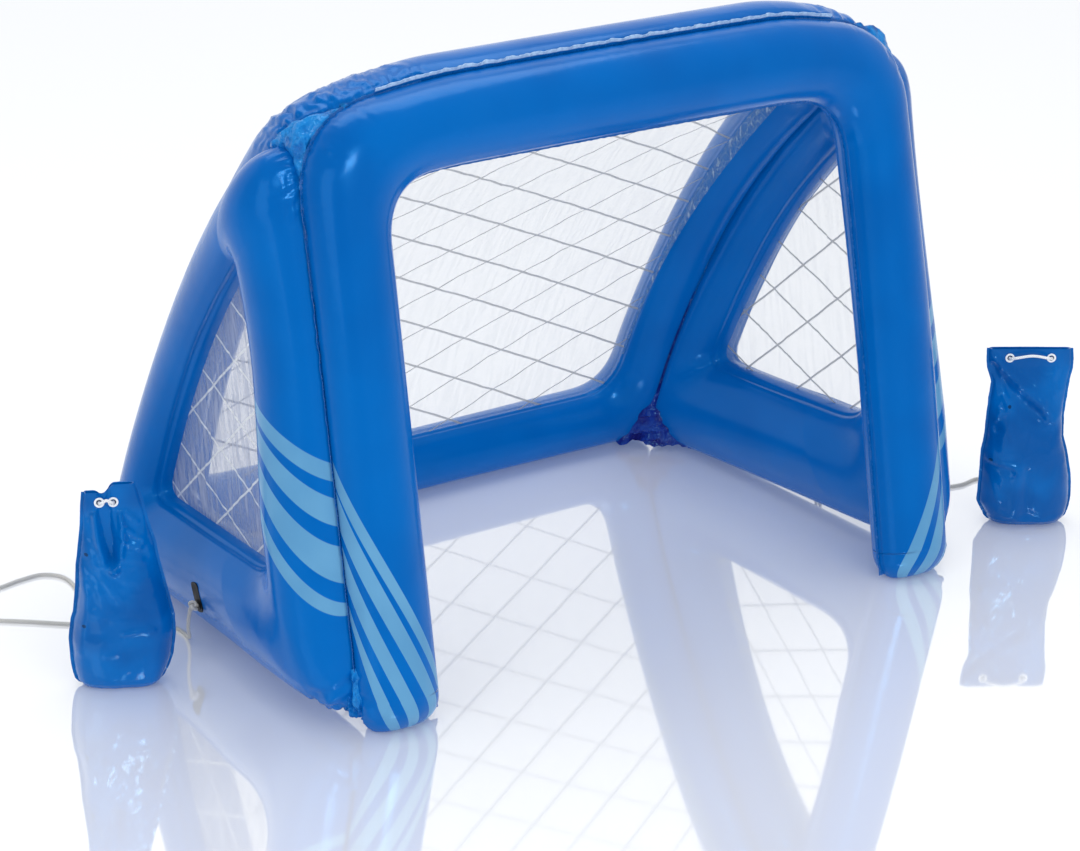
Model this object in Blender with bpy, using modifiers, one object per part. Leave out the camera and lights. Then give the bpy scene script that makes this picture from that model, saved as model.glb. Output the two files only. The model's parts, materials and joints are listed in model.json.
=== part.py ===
"""An inflatable goal: four welded air chambers round clear net film, with two anchor bags on cords.

Metres, Z up. The goal stands on Z = 0 and its mouth faces -Y. The origin is the middle of its footprint.
"""
import math

import bmesh
import bpy
import numpy as np
from mathutils import Matrix, Vector

# Where the chambers meet: the weld lines of the flat panels
FRONT_WIDTH = 1.236
BACK_WIDTH = 1.153
HEIGHT = 0.969
DEPTH = 0.795
FRONT_LEAN = math.radians(10.0)
REAR_TOP_FALL = math.radians(40.0)
REAR_TOP_HANDLE = 0.640
REAR_FOOT_HANDLE = 0.0485
ORIGIN_BACK = DEPTH / 2     # from the front frame's foot line to the origin, the middle of the footprint
LEG_DROP = 0.025            # how far the legs reach below the side and back frames
TOP_ARCH = 0.006           # rise of the top in the middle
LEFT_SAG = 0.0215           # how far the top corners sink under the pull of their welds
RIGHT_SAG = 0.0330
RIGHT_PULL = 0.0195         # how far the top right corner is drawn inwards

# Inflated bars: width in the panel's plane, then thickness through it
LEG_WIDTH = 0.1405
TOP_BAR_WIDTH = 0.1405
SIDE_FRONT_BAR_WIDTH = 0.1415
SIDE_REAR_BAR_WIDTH = 0.1170
SIDE_BOTTOM_BAR_WIDTH = 0.1890
BACK_SIDE_BAR_WIDTH = 0.1200
BACK_TOP_BAR_WIDTH = 0.1705
BACK_BOTTOM_BAR_WIDTH = 0.1200
FRONT_THICKNESS = 0.1200
SIDE_THICKNESS = 0.1200
BACK_THICKNESS = 0.1105
SIDE_WINDOW_OUT = 0.0165    # a side window lies this far outside its frame's middle plane

# Where the welds stop short of the corners, and so where the outer roundings start
FRONT_WELD_SHORT = 0.1455
TOP_WELD_SHORT = 0.1455
REAR_WELD_SHORT = 0.1260
REAR_FOOT_SHORT = 0.1015
FRONT_FOOT_SHORT = 0.0680
# The windows' roundings, as the distance from the corner where the rounding starts
MOUTH_CORNER = 0.0970
SIDE_TIP_CORNER = 0.0290
SIDE_REAR_CORNER = 0.0390
SIDE_FRONT_CORNER = 0.1065
BACK_TOP_CORNER = 0.0870
BACK_FOOT_CORNER = 0.0775
FOOT_CORNER = 0.0435        # rounding of a leg's lower end
FOOT_CROWN = 0.0630         # length over which a leg's end fills out to full thickness

# Welds and film
WELD_INSET = 0.002         # from the weld line to a chamber's edge
WEB = 0.0006               # weld flange thickness
FILM = 0.0006              # window and gusset film thickness
GAP = 0.0003               # between touching pieces
FLANGE_OUT = 0.004         # how far a weld flange stands out of the groove
FLANGE_IN = 0.012          # how far it reaches in between the chambers
FLOOR_PRESS = 0.002        # how much of a bottom bar the floor presses flat

# A chamber's oval sections: points in each, and how many round each corner besides the panels' own counts
SECTION_POINTS = 16
CORNER_STATIONS = 6
REAR_STATIONS = 17
TOP_STATIONS = 11
LEG_STATIONS = 9
FOOT_STATIONS = 7
OUTERMOST = 3              # the flat on a section's outer face, counted round from its outer edge
INNERMOST = 11
INNER_REAR = 9

# Inflation valves
VALVE_LAND_RADIUS = 0.0165
VALVE_LAND_DEPTH = 0.0018
VALVE_FLANGE_RADIUS = 0.0150
VALVE_FLANGE = 0.0012
STEM_RADIUS = 0.0070
STEM_BORE_RADIUS = 0.0045
STEM_LENGTH = 0.0170
STEM_PROUD = 0.0030        # stem rim above the flange when pushed in
STEM_FIT = 0.0004          # radial play between stem and flange
WELL_CLEARANCE = 0.0015
CAP_RADIUS = 0.0078
CAP_THICKNESS = 0.0016
CAP_HINGE = 0.0088         # hinge line from the stem's axis
PLUG_RADIUS = 0.0042
PLUG_TIP_RADIUS = 0.0032
PLUG_LENGTH = 0.0050
VALVE_ON_LEG = 0.291       # height up the left leg, on its inner rear side
VALVE_ON_SIDE = 0.581      # distance back along the side frames' bottom bars
VALVE_ON_BACK = 0.291      # distance right along the back frame's bottom bar

# Tether tabs, cords and anchor bags
TAB_LENGTH = 0.052
TAB_WIDTH = 0.026
TAB_THICKNESS = 0.0016
TAB_HOLE_RADIUS = 0.0065
TAB_PLACE = 0.405          # distance behind the front weld line
EYELET_RIM_RADIUS = 0.0090
EYELET_BORE_RADIUS = 0.0036
EYELET_RIM = 0.0010
TETHER_DIAMETER = 0.006
TETHER_STEP = 0.018        # between the points of a cord's line
BAG_HEIGHT = 0.339
BAG_WIDTH = 0.1665
BAG_THICKNESS = 0.0870
BAG_NECK_THICKNESS = 0.012
# Each bag: how far outside the front weld line and behind the tab it stands, its turn, the width its neck is
# gathered to, the lean of its top, and the distance between its grommets
LEFT_BAG = (0.221, -0.038, math.radians(-26), 0.53, -0.024, 0.022)
RIGHT_BAG = (0.262, -0.347, math.radians(-32), 1.0, -0.016, 0.076)
GROMMET_RIM_RADIUS = 0.0085
GROMMET_BARREL_RADIUS = 0.0058
GROMMET_BORE_RADIUS = 0.0031
GROMMET_RIM = 0.0012
GROMMET_BELOW_TOP = 0.017
STRING_DIAMETER = 0.005

DENSE = 160                # points on a guide curve before it is resampled


def linear(red, green, blue):
    """An sRGB colour of 0 to 255 as linear RGBA."""
    shares = [c / 255 for c in (red, green, blue)]
    return [s / 12.92 if s <= 0.04045 else ((s + 0.055) / 1.055) ** 2.4 for s in shares] + [1.0]


def material(name, colour, roughness, metallic=0.0, alpha=1.0):
    mat = bpy.data.materials.new(name)
    mat.use_nodes = True
    shader = mat.node_tree.nodes["Principled BSDF"]
    shader.inputs["Base Color"].default_value = colour
    shader.inputs["Roughness"].default_value = roughness
    shader.inputs["Metallic"].default_value = metallic
    shader.inputs["Alpha"].default_value = alpha
    mat.diffuse_color = colour
    return mat


def collection(name):
    group = bpy.data.collections.new(name)
    bpy.context.scene.collection.children.link(group)
    return group


def add(name, mesh, mat, group, parent=None, matrix=None):
    """A named object from a mesh, with one material."""
    obj = bpy.data.objects.new(name, mesh)
    if mat:
        mesh.materials.append(mat)
    group.objects.link(obj)
    obj.parent = parent
    if matrix is not None:
        obj.matrix_basis = matrix
    return obj


def to_mesh(bm, name, smooth=True):
    """Closes a bmesh's bookkeeping: merged, faces out, shaded smooth."""
    bmesh.ops.remove_doubles(bm, verts=bm.verts, dist=0.00001)
    bmesh.ops.recalc_face_normals(bm, faces=bm.faces)
    mesh = bpy.data.meshes.new(name)
    bm.to_mesh(mesh)
    bm.free()
    if smooth:
        mesh.shade_smooth()
        mesh.set_sharp_from_angle(angle=math.radians(40))
    return mesh


def cutter(name, mesh, matrix, group):
    obj = add(name, mesh, None, group, matrix=matrix)
    obj.hide_render = True
    obj.display_type = "WIRE"
    return obj


def cut(target, tool):
    step = target.modifiers.new("cut " + tool.name, "BOOLEAN")
    step.operation = "DIFFERENCE"
    step.solver = "EXACT"
    step.object = tool


# Guide curves and outlines in a panel's flat coordinates

def lengths(path):
    """Distance along a path at each of its points."""
    steps = np.linalg.norm(np.diff(path, axis=0), axis=1)
    return np.concatenate([[0.0], np.cumsum(steps)])


def along(path, distances):
    """Points of a path at the given distances from its start."""
    run = lengths(path)
    return np.column_stack([np.interp(distances, run, path[:, k]) for k in range(path.shape[1])])


def distance_to(path, point):
    """The shortest distance from a point to a path."""
    starts, steps = path[:-1], np.diff(path, axis=0)
    share = np.clip(np.sum((point - starts) * steps, axis=1) / np.sum(steps ** 2, axis=1), 0, 1)
    return np.min(np.linalg.norm(starts + share[:, None] * steps - point, axis=1))


def straight(start, end):
    return np.linspace(np.asarray(start, float), np.asarray(end, float), DENSE)


def offset_left(path, distance):
    """A flat path moved sideways, to the left of its direction of travel."""
    ahead = np.gradient(path, axis=0)
    ahead /= np.linalg.norm(ahead, axis=1)[:, None]
    return path + distance * np.column_stack([-ahead[:, 1], ahead[:, 0]])


def meet(first, second):
    """Trims two flat paths to where the first one's end and the second one's start cross."""
    apart = np.linalg.norm(first[:, None] - second[None], axis=2)
    i, j = np.unravel_index(np.argmin(apart), apart.shape)
    corner = (first[i] + second[j]) / 2
    head = first[:i] if i > 1 else first[:1]
    tail = second[j + 1:] if j < len(second) - 2 else second[-1:]
    return np.vstack([head, corner]), np.vstack([corner, tail])


def outline(edges, corners, counts, closed=True):
    """Edge paths joined end to end, each corner rounded from its distances (before it, after it)."""
    points = []
    last = len(edges) - 1
    for i, edge in enumerate(edges):
        total = lengths(edge)[-1]
        start = corners[i - 1][1] if closed or i > 0 else 0.0
        stop = total - (corners[i][0] if closed or i < last else 0.0)
        points.append(along(edge, np.linspace(start, stop, counts[i])))
        if not closed and i == last:
            break
        following = edges[(i + 1) % len(edges)]
        a, k, b = points[-1][-1], edge[-1], along(following, [corners[i][1]])[0]
        t = np.linspace(0, 1, CORNER_STATIONS + 2)[1:-1, None]
        points.append((1 - t) ** 2 * a + 2 * (1 - t) * t * k + t ** 2 * b)
    return np.vstack(points)


def rear_curve():
    """The rear weld curve in (Y, Z), from the top weld to the floor."""
    top = np.array([HEIGHT * math.tan(FRONT_LEAN), HEIGHT])
    foot = np.array([DEPTH, -FLOOR_PRESS])
    first = top + REAR_TOP_HANDLE * np.array([math.cos(REAR_TOP_FALL), -math.sin(REAR_TOP_FALL)])
    second = foot + np.array([0.0, REAR_FOOT_HANDLE])
    t = np.linspace(0, 1, DENSE)[:, None]
    return (1 - t) ** 3 * top + 3 * (1 - t) ** 2 * t * first + 3 * (1 - t) * t ** 2 * second + t ** 3 * foot


LEAN_SIN, LEAN_COS = math.sin(FRONT_LEAN), math.cos(FRONT_LEAN)
FRONT_HEIGHT = HEIGHT / LEAN_COS
TOE_IN = (FRONT_WIDTH - BACK_WIDTH) / (2 * DEPTH * LEAN_COS)
STRETCH = math.hypot(1.0, TOE_IN)
CORNER_HALF = (math.pi / 2 - math.atan(TOE_IN)) / 2
TOP_HALF = math.acos(LEAN_COS * math.sin(REAR_TOP_FALL) - LEAN_SIN * math.cos(REAR_TOP_FALL)) / 2
TOP_WELD = np.array([0.0, HEIGHT * math.tan(FRONT_LEAN), HEIGHT])
TOP_ACROSS = np.array([0.0, math.cos(REAR_TOP_FALL) + LEAN_SIN, LEAN_COS - math.sin(REAR_TOP_FALL)])
TOP_ACROSS /= np.linalg.norm(TOP_ACROSS)
REAR = rear_curve()
REAR_LENGTH = lengths(REAR)[-1]


def weld_half_width(y, z):
    """Half the distance between the side panels at a point of their planes."""
    return FRONT_WIDTH / 2 - TOE_IN * (y * LEAN_COS - z * LEAN_SIN)


def press(distance, half_angle):
    """How far a chamber may swell towards its neighbour, this far from their weld line."""
    return distance * math.tan(half_angle) - (WEB / 2 + GAP) / math.cos(half_angle)


def ease(value, low, high):
    share = min(max((value - low) / (high - low), 0.0), 1.0)
    return share * share * (3 - 2 * share)


def settle(point):
    """How the inflated goal stands: arched top, sunk top corners, and tipped back until legs and rear rest."""
    x, y, z = point
    corner = ease(abs(x), 0.25 * FRONT_WIDTH, 0.5 * FRONT_WIDTH)
    rise = TOP_ARCH * (1 - (2 * x / FRONT_WIDTH) ** 2) - (RIGHT_SAG if x > 0 else LEFT_SAG) * corner
    if x > 0:
        x = x - RIGHT_PULL * corner * ease(z, 0.3 * HEIGHT, HEIGHT)
    z = z + rise * ease(z, 0.5 * HEIGHT, HEIGHT)
    tip = math.atan(LEG_DROP / DEPTH)
    back = y - DEPTH
    y = DEPTH + back * math.cos(tip) + z * math.sin(tip)
    return np.array([x, y - ORIGIN_BACK, z * math.cos(tip) - back * math.sin(tip)])


class FrontPanel:
    """Flat coordinates: X across and h up the leaning plane. Out is forwards."""

    thickness = FRONT_THICKNESS
    reference = LEG_WIDTH
    fullest = 1.15
    lift = 0.0
    counts = (LEG_STATIONS, TOP_STATIONS, LEG_STATIONS)
    closed = False

    @staticmethod
    def place(u, h, n):
        return np.array([u, h * LEAN_SIN - n * LEAN_COS, h * LEAN_COS + n * LEAN_SIN])

    @staticmethod
    def room(u, h):
        side = press(FRONT_WIDTH / 2 - abs(u), CORNER_HALF)
        return min(side, press(FRONT_HEIGHT - h, TOP_HALF))

    @staticmethod
    def outlines():
        found = []
        for width, bar, leg_cut, top_cut in (
            (0.0, 0.0, FRONT_WELD_SHORT, TOP_WELD_SHORT),
            (LEG_WIDTH, TOP_BAR_WIDTH, MOUTH_CORNER, MOUTH_CORNER),
        ):
            x = FRONT_WIDTH / 2 - WELD_INSET - width
            top = FRONT_HEIGHT - WELD_INSET - bar
            foot = -LEG_DROP / LEAN_COS
            edges = [straight((-x, foot), (-x, top)), straight((-x, top), (x, top)), straight((x, top), (x, foot))]
            found.append(outline(edges, [(leg_cut, top_cut), (top_cut, leg_cut)], FrontPanel.counts, closed=False))
        return found


class SidePanel:
    """Flat coordinates: d behind the front weld line and h along it. Out is away from the goal."""

    thickness = SIDE_THICKNESS
    reference = SIDE_FRONT_BAR_WIDTH
    fullest = 1.3
    lift = SIDE_WINDOW_OUT
    counts = (LEG_STATIONS, REAR_STATIONS, FOOT_STATIONS)
    closed = True

    def __init__(self, side):
        self.side = side
        self.back = np.array([-side * TOE_IN, LEAN_COS, -LEAN_SIN]) / STRETCH
        self.up = np.array([0.0, LEAN_SIN, LEAN_COS])
        self.out = np.array([side, TOE_IN * LEAN_COS, -TOE_IN * LEAN_SIN]) / STRETCH
        self.rear = self.flat(REAR)

    @staticmethod
    def flat(path):
        """A path in (Y, Z) in this panel's flat coordinates."""
        y, z = path[:, 0], path[:, 1]
        return np.column_stack([(y * LEAN_COS - z * LEAN_SIN) * STRETCH, y * LEAN_SIN + z * LEAN_COS])

    def place(self, d, h, n):
        return np.array([self.side * FRONT_WIDTH / 2, 0, 0]) + d * self.back + h * self.up + n * self.out

    def room(self, d, h):
        return min(press(d, CORNER_HALF), press(distance_to(self.rear, (d, h)), math.pi / 4))

    def outlines(self):
        found = []
        for front, rear, bottom, corners in (
            (0.0, 0.0, 0.0, [
                (FRONT_WELD_SHORT, REAR_WELD_SHORT),
                (REAR_FOOT_SHORT, REAR_FOOT_SHORT),
                (FRONT_FOOT_SHORT, FRONT_FOOT_SHORT)]),
            (SIDE_FRONT_BAR_WIDTH, SIDE_REAR_BAR_WIDTH, SIDE_BOTTOM_BAR_WIDTH, [
                (SIDE_TIP_CORNER, SIDE_TIP_CORNER),
                (SIDE_REAR_CORNER, SIDE_REAR_CORNER),
                (SIDE_FRONT_CORNER, SIDE_FRONT_CORNER)]),
        ):
            d0 = WELD_INSET + front
            level = self.flat(straight((-0.2, bottom - FLOOR_PRESS), (DEPTH + 0.2, bottom - FLOOR_PRESS)))[::-1]
            curve = offset_left(self.rear[::-1], WELD_INSET + rear)[::-1]
            up = straight((d0, -0.1), (d0, FRONT_HEIGHT + 0.1))
            up, curve = meet(up, curve)
            curve, level = meet(curve, level)
            level, up = meet(level, up)
            found.append(outline([up, curve, level], corners, self.counts))
        return found


class BackPanel:
    """Flat coordinates: X across and s down the rear curve. Out is backwards."""

    thickness = BACK_THICKNESS
    reference = BACK_SIDE_BAR_WIDTH
    fullest = 1.22
    lift = 0.0
    counts = (REAR_STATIONS, 9, REAR_STATIONS, TOP_STATIONS)
    closed = True

    @staticmethod
    def place(u, s, n):
        (y, z), = along(REAR, [s])
        (y0, z0), (y1, z1) = along(REAR, [max(s - 0.01, 0.0), min(s + 0.01, REAR_LENGTH)])
        step = math.hypot(y1 - y0, z1 - z0)
        return np.array([u, y + n * (z0 - z1) / step, z + n * (y1 - y0) / step])

    @staticmethod
    def room(u, s):
        (y, z), = along(REAR, [s])
        side = press(weld_half_width(y, z) - abs(u), math.pi / 4)
        clear = np.dot(BackPanel.place(u, s, 0.0) - TOP_WELD, TOP_ACROSS) - WEB / 2 - GAP
        closing = np.dot(BackPanel.place(u, s, 1.0) - BackPanel.place(u, s, 0.0), TOP_ACROSS)
        return min(side, clear / closing) if closing > 0.01 else side

    @staticmethod
    def outlines():
        found = []
        for side, top, bottom, side_cut, top_cut, foot_cut in (
            (0.0, 0.0, 0.0, REAR_WELD_SHORT, TOP_WELD_SHORT, REAR_FOOT_SHORT),
            (BACK_SIDE_BAR_WIDTH, BACK_TOP_BAR_WIDTH, BACK_BOTTOM_BAR_WIDTH,
             BACK_TOP_CORNER, BACK_TOP_CORNER, BACK_FOOT_CORNER),
        ):
            run = np.linspace(WELD_INSET + top, REAR_LENGTH - bottom, DENSE)
            line = along(REAR, run)
            half = np.array([weld_half_width(y, z) for y, z in line]) - WELD_INSET - side
            right = np.column_stack([half, run])
            left = np.column_stack([-half, run])[::-1]
            edges = [right, straight(right[-1], left[0]), left, straight(left[-1], right[0])]
            cuts = [(foot_cut, foot_cut), (foot_cut, foot_cut), (side_cut, top_cut), (top_cut, side_cut)]
            found.append(outline(edges, cuts, BackPanel.counts))
        return found


def foot_stations(outer, inner):
    """Adds the legs' rounded lower ends: each station with how full it is, from 0 to 1."""
    ends = FOOT_CROWN * np.array([0.0, 0.17, 0.38, 0.63])
    shift = FOOT_CROWN * 0.095
    foot = outer[0][1]
    middle = (outer + inner) / 2
    rows_outer, rows_inner, full = [], [], []
    for k, height in enumerate(ends):
        from_end = height + shift
        narrow = FOOT_CORNER - math.sqrt(max(FOOT_CORNER ** 2 - max(FOOT_CORNER - from_end, 0.0) ** 2, 0.0))
        full.append(math.sqrt(1 - (1 - from_end / FOOT_CROWN) ** 2))
        for rows, edge in ((rows_outer, outer[0]), (rows_inner, inner[0])):
            inward = math.copysign(narrow, middle[0][0] - edge[0])
            rows.append((edge[0] + inward, foot + height))
    left_outer, left_inner = np.array(rows_outer), np.array(rows_inner)
    mirror = np.array([-1.0, 1.0])
    body = slice(1, -1)
    outer = np.vstack([left_outer, outer[body], (left_outer * mirror)[::-1]])
    inner = np.vstack([left_inner, inner[body], (left_inner * mirror)[::-1]])
    fullness = np.ones(len(outer))
    fullness[:len(full)] = full
    fullness[-len(full):] = full[::-1]
    return outer, inner, fullness


def sections(panel):
    """A chamber's oval sections, from its outlines, pressed flat where they meet a neighbour or the floor."""
    outer, inner = panel.outlines()
    fullness = np.ones(len(outer))
    if not panel.closed:
        outer, inner, fullness = foot_stations(outer, inner)
    rings = []
    for i, (edge, hole) in enumerate(zip(outer, inner)):
        middle, reach = (edge + hole) / 2, (edge - hole) / 2
        swell = min(math.sqrt(2 * np.linalg.norm(reach) / panel.reference), panel.fullest)
        half = panel.thickness / 2 * (swell if fullness[i] == 1.0 else 1.0) * fullness[i]
        ring = []
        for k in range(SECTION_POINTS):
            angle = 2 * math.pi * (k + 0.5) / SECTION_POINTS
            u, v = middle + reach * math.cos(angle)
            n = half * math.sin(angle) + panel.lift * (1 - math.cos(angle)) / 2
            if n < 0:
                n = -min(-n, max(panel.room(u, v), 0.0))
            point = settle(panel.place(u, v, n))
            if point[2] < 0 or (not panel.closed and i in (0, len(outer) - 1)):
                point[2] = 0.0
            ring.append(point)
        rings.append(np.array(ring))
    return rings


def chamber(name, rings, closed, mat, group):
    """An air chamber's closed skin over its sections."""
    bm = bmesh.new()
    loops = [[bm.verts.new(point) for point in ring] for ring in rings]
    pairs = list(zip(loops, loops[1:]))
    if closed:
        pairs.append((loops[-1], loops[0]))
    else:
        bm.faces.new(loops[0])
        bm.faces.new(loops[-1])
    for near, far in pairs:
        for k in range(SECTION_POINTS):
            after = (k + 1) % SECTION_POINTS
            bm.faces.new((near[k], near[after], far[after], far[k]))
    return add(name, to_mesh(bm, name), mat, group)


def flat_of(rings, i, k, share=0.5):
    """The middle of one flat of a chamber's skin, the way it faces, and the way down it."""
    near, far = rings[i], rings[(i + 1) % len(rings)]
    low = near[k] + share * (far[k] - near[k])
    high = near[k + 1] + share * (far[k + 1] - near[k + 1])
    out = unit(np.cross(far[k] - near[k], high - low))
    if np.dot(out, low - np.mean(near, axis=0)) < 0:
        out = -out
    down = high - low if high[2] < low[2] else low - high
    return (low + high) / 2, out, unit(down)


def station(rings, k, first, last, axis, value):
    """Which pair of sections, and how far between them, a coordinate falls on along one line of the skin."""
    for i in range(first, last):
        a, b = rings[i][k][axis], rings[i + 1][k][axis]
        if min(a, b) <= value <= max(a, b):
            return i, (value - a) / (b - a)
    raise ValueError("no section there")


def window(name, panel, rows, mat, group):
    """The clear film inside a ring: a flat sheet cut to the ring's hole, then laid on the panel's surface."""
    outer, inner = panel.outlines()
    middle, reach = (outer + inner) / 2, (outer - inner) / 2
    inside = -math.cos(math.pi / SECTION_POINTS)
    unit = reach / np.linalg.norm(reach, axis=1)[:, None]
    edge = middle + reach * inside - unit * GAP
    bm = bmesh.new()
    bm.faces.new([bm.verts.new((u, v, -FILM / 2)) for u, v in edge])
    low, high = edge[:, 1].min(), edge[:, 1].max()
    for level in np.linspace(low, high, rows + 2)[1:-1]:
        everything = bm.verts[:] + bm.edges[:] + bm.faces[:]
        bmesh.ops.bisect_plane(bm, geom=everything, plane_co=(0, level, 0), plane_no=(0, 1, 0))
    bmesh.ops.triangulate(bm, faces=bm.faces[:])
    sheet = bmesh.ops.extrude_face_region(bm, geom=bm.faces[:] + bm.edges[:] + bm.verts[:])
    raised = [item for item in sheet["geom"] if isinstance(item, bmesh.types.BMVert)]
    bmesh.ops.translate(bm, verts=raised, vec=(0, 0, FILM))
    level = panel.lift * (1 - inside) / 2
    for vert in bm.verts:
        vert.co = settle(panel.place(vert.co.x, vert.co.y, vert.co.z + level))
    return add(name, to_mesh(bm, name, smooth=False), mat, group)


def weld_flange(name, line, inward, across, mat, group):
    """The thin welded flange between two chambers: a strip along their weld line."""
    bm = bmesh.new()
    rings = []
    for point, deep, side in zip(line, inward, across):
        corners = [
            point - FLANGE_OUT * deep - WEB / 2 * side,
            point + FLANGE_IN * deep - WEB / 2 * side,
            point + FLANGE_IN * deep + WEB / 2 * side,
            point - FLANGE_OUT * deep + WEB / 2 * side,
        ]
        rings.append([bm.verts.new(settle(corner)) for corner in corners])
    for near, far in zip(rings, rings[1:]):
        for k in range(4):
            bm.faces.new((near[k], near[(k + 1) % 4], far[(k + 1) % 4], far[k]))
    bm.faces.new(rings[0])
    bm.faces.new(rings[-1])
    return add(name, to_mesh(bm, name, smooth=False), mat, group)


def unit(vector):
    vector = np.asarray(vector, float)
    return vector / np.linalg.norm(vector)


def front_flange(side):
    """The weld between the front frame and a side frame."""
    panel = SidePanel(side)
    stop = FRONT_HEIGHT - FRONT_WELD_SHORT - FLANGE_OUT
    line = [panel.place(0.0, h, 0.0) for h in np.linspace(FRONT_FOOT_SHORT, stop, LEG_STATIONS)]
    toward = np.array([-side, 0.0, 0.0])
    return line, [unit(toward + panel.back)] * LEG_STATIONS, [unit(toward - panel.back)] * LEG_STATIONS


def top_flange():
    """The weld between the front frame's top bar and the back frame's."""
    down = np.array([0.0, -LEAN_SIN, -LEAN_COS])
    fall = np.array([0.0, math.cos(REAR_TOP_FALL), -math.sin(REAR_TOP_FALL)])
    reach = FRONT_WIDTH / 2 - TOP_WELD_SHORT - FLANGE_OUT
    line = [FrontPanel.place(x, FRONT_HEIGHT, 0.0) for x in np.linspace(-reach, reach, TOP_STATIONS)]
    return line, [unit(down + fall)] * TOP_STATIONS, [unit(down - fall)] * TOP_STATIONS


def rear_flange(side):
    """The curved weld between the back frame and a side frame."""
    line, inward, across = [], [], []
    for s in np.linspace(REAR_WELD_SHORT, REAR_LENGTH - REAR_FOOT_SHORT, REAR_STATIONS):
        (y, z), = along(REAR, [s])
        (y0, z0), (y1, z1) = along(REAR, [s - 0.01, s + 0.01])
        ahead = unit([0.0, z1 - z0, y0 - y1])
        toward = np.array([-side, 0.0, 0.0])
        line.append(np.array([side * weld_half_width(y, z), y, z]))
        inward.append(unit(toward + ahead))
        across.append(unit(toward - ahead))
    line[0] = line[0] + FLANGE_OUT * unit(line[1] - line[0])
    line[-1] = line[-1] + FLANGE_OUT * unit(line[-2] - line[-1])
    return line, inward, across


def rim(panel, corner):
    """Points just outside a chamber's edge round one of its corners, in the order of its outline."""
    outer, inner = panel.outlines()
    reach = (outer - inner) / 2
    out = reach / np.linalg.norm(reach, axis=1)[:, None]
    edge = (outer + inner) / 2 + reach * math.cos(math.pi / SECTION_POINTS) + out * (2 * GAP + FILM / 2)
    first = sum(panel.counts[:corner + 1]) + corner * CORNER_STATIONS - 1
    picks = [(first + k) % len(edge) for k in range(CORNER_STATIONS + 2)]
    return np.array([panel.place(*edge[i], 0.0) for i in picks])


def gusset(name, side_arc, back_arc, end, mat, group):
    """A film patch over a corner, from the tip where the first two arcs start to its end row."""
    tip = (side_arc[0] + back_arc[0]) / 2
    t = np.linspace(0, 1, len(end))[:, None]
    bow = end - ((1 - t) * end[0] + t * end[-1])
    bm = bmesh.new()
    before = [bm.verts.new(settle(tip))] * len(end)
    for r in range(1, len(side_arc)):
        share = r / (len(side_arc) - 1)
        row = (1 - t) * side_arc[r] + t * back_arc[r] + share * bow
        verts = [bm.verts.new(settle(point)) for point in row]
        for k in range(len(verts) - 1):
            corners = (before[k], verts[k], verts[k + 1], before[k + 1])
            bm.faces.new(corners if r > 1 else corners[:3])
        before = verts
    obj = add(name, to_mesh(bm, name), mat, group)
    solid = obj.modifiers.new("film", "SOLIDIFY")
    solid.thickness = FILM
    solid.offset = 0.0
    return obj


def top_gusset(side):
    """The three chambers' edges round a top corner, made to meet at the weld ends."""
    side_arc = rim(SidePanel(side), 0)[::-1]
    back_arc = rim(BackPanel(), 3)[::-1] if side > 0 else rim(BackPanel(), 2)
    front_arc = rim(FrontPanel(), 1)[::-1] if side > 0 else rim(FrontPanel(), 0)
    side_arc[-1] = front_arc[0] = (side_arc[-1] + front_arc[0]) / 2
    back_arc[-1] = front_arc[-1] = (back_arc[-1] + front_arc[-1]) / 2
    return side_arc, back_arc, front_arc


def rear_gusset(side):
    """The two chambers' edges round a rear floor corner, down to a free edge near the floor."""
    side_arc = rim(SidePanel(side), 1)
    back_arc = rim(BackPanel(), 0) if side > 0 else rim(BackPanel(), 1)[::-1]
    rows = CORNER_STATIONS
    side_arc, back_arc = side_arc[:rows], back_arc[:rows]
    return side_arc, back_arc, np.linspace(side_arc[-1], back_arc[-1], CORNER_STATIONS)


# Turned and moulded small pieces

def turned(name, profile, segments=24):
    """A closed solid turned about Z from a closed profile of (radius, height) points."""
    bm = bmesh.new()
    rings = []
    for step in range(segments):
        angle = 2 * math.pi * step / segments
        rings.append([bm.verts.new((r * math.cos(angle), r * math.sin(angle), z)) for r, z in profile])
    for near, far in zip(rings, rings[1:] + rings[:1]):
        for k in range(len(profile)):
            after = (k + 1) % len(profile)
            bm.faces.new((near[k], far[k], far[after], near[after]))
    return to_mesh(bm, name)


def cylinder(name, radius, bottom, top, segments=24):
    bm = bmesh.new()
    bmesh.ops.create_cone(
        bm, cap_ends=True, segments=segments, radius1=radius, radius2=radius, depth=top - bottom,
        matrix=Matrix.Translation((0, 0, (top + bottom) / 2)),
    )
    return to_mesh(bm, name)


def frame_at(point, out, toward):
    """A placing matrix: Z along out, X as near as can be to toward."""
    z = Vector(out).normalized()
    x = (Vector(toward) - z * Vector(toward).dot(z)).normalized()
    matrix = Matrix((x, z.cross(x), z)).transposed().to_4x4()
    matrix.translation = Vector(point)
    return matrix


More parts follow.
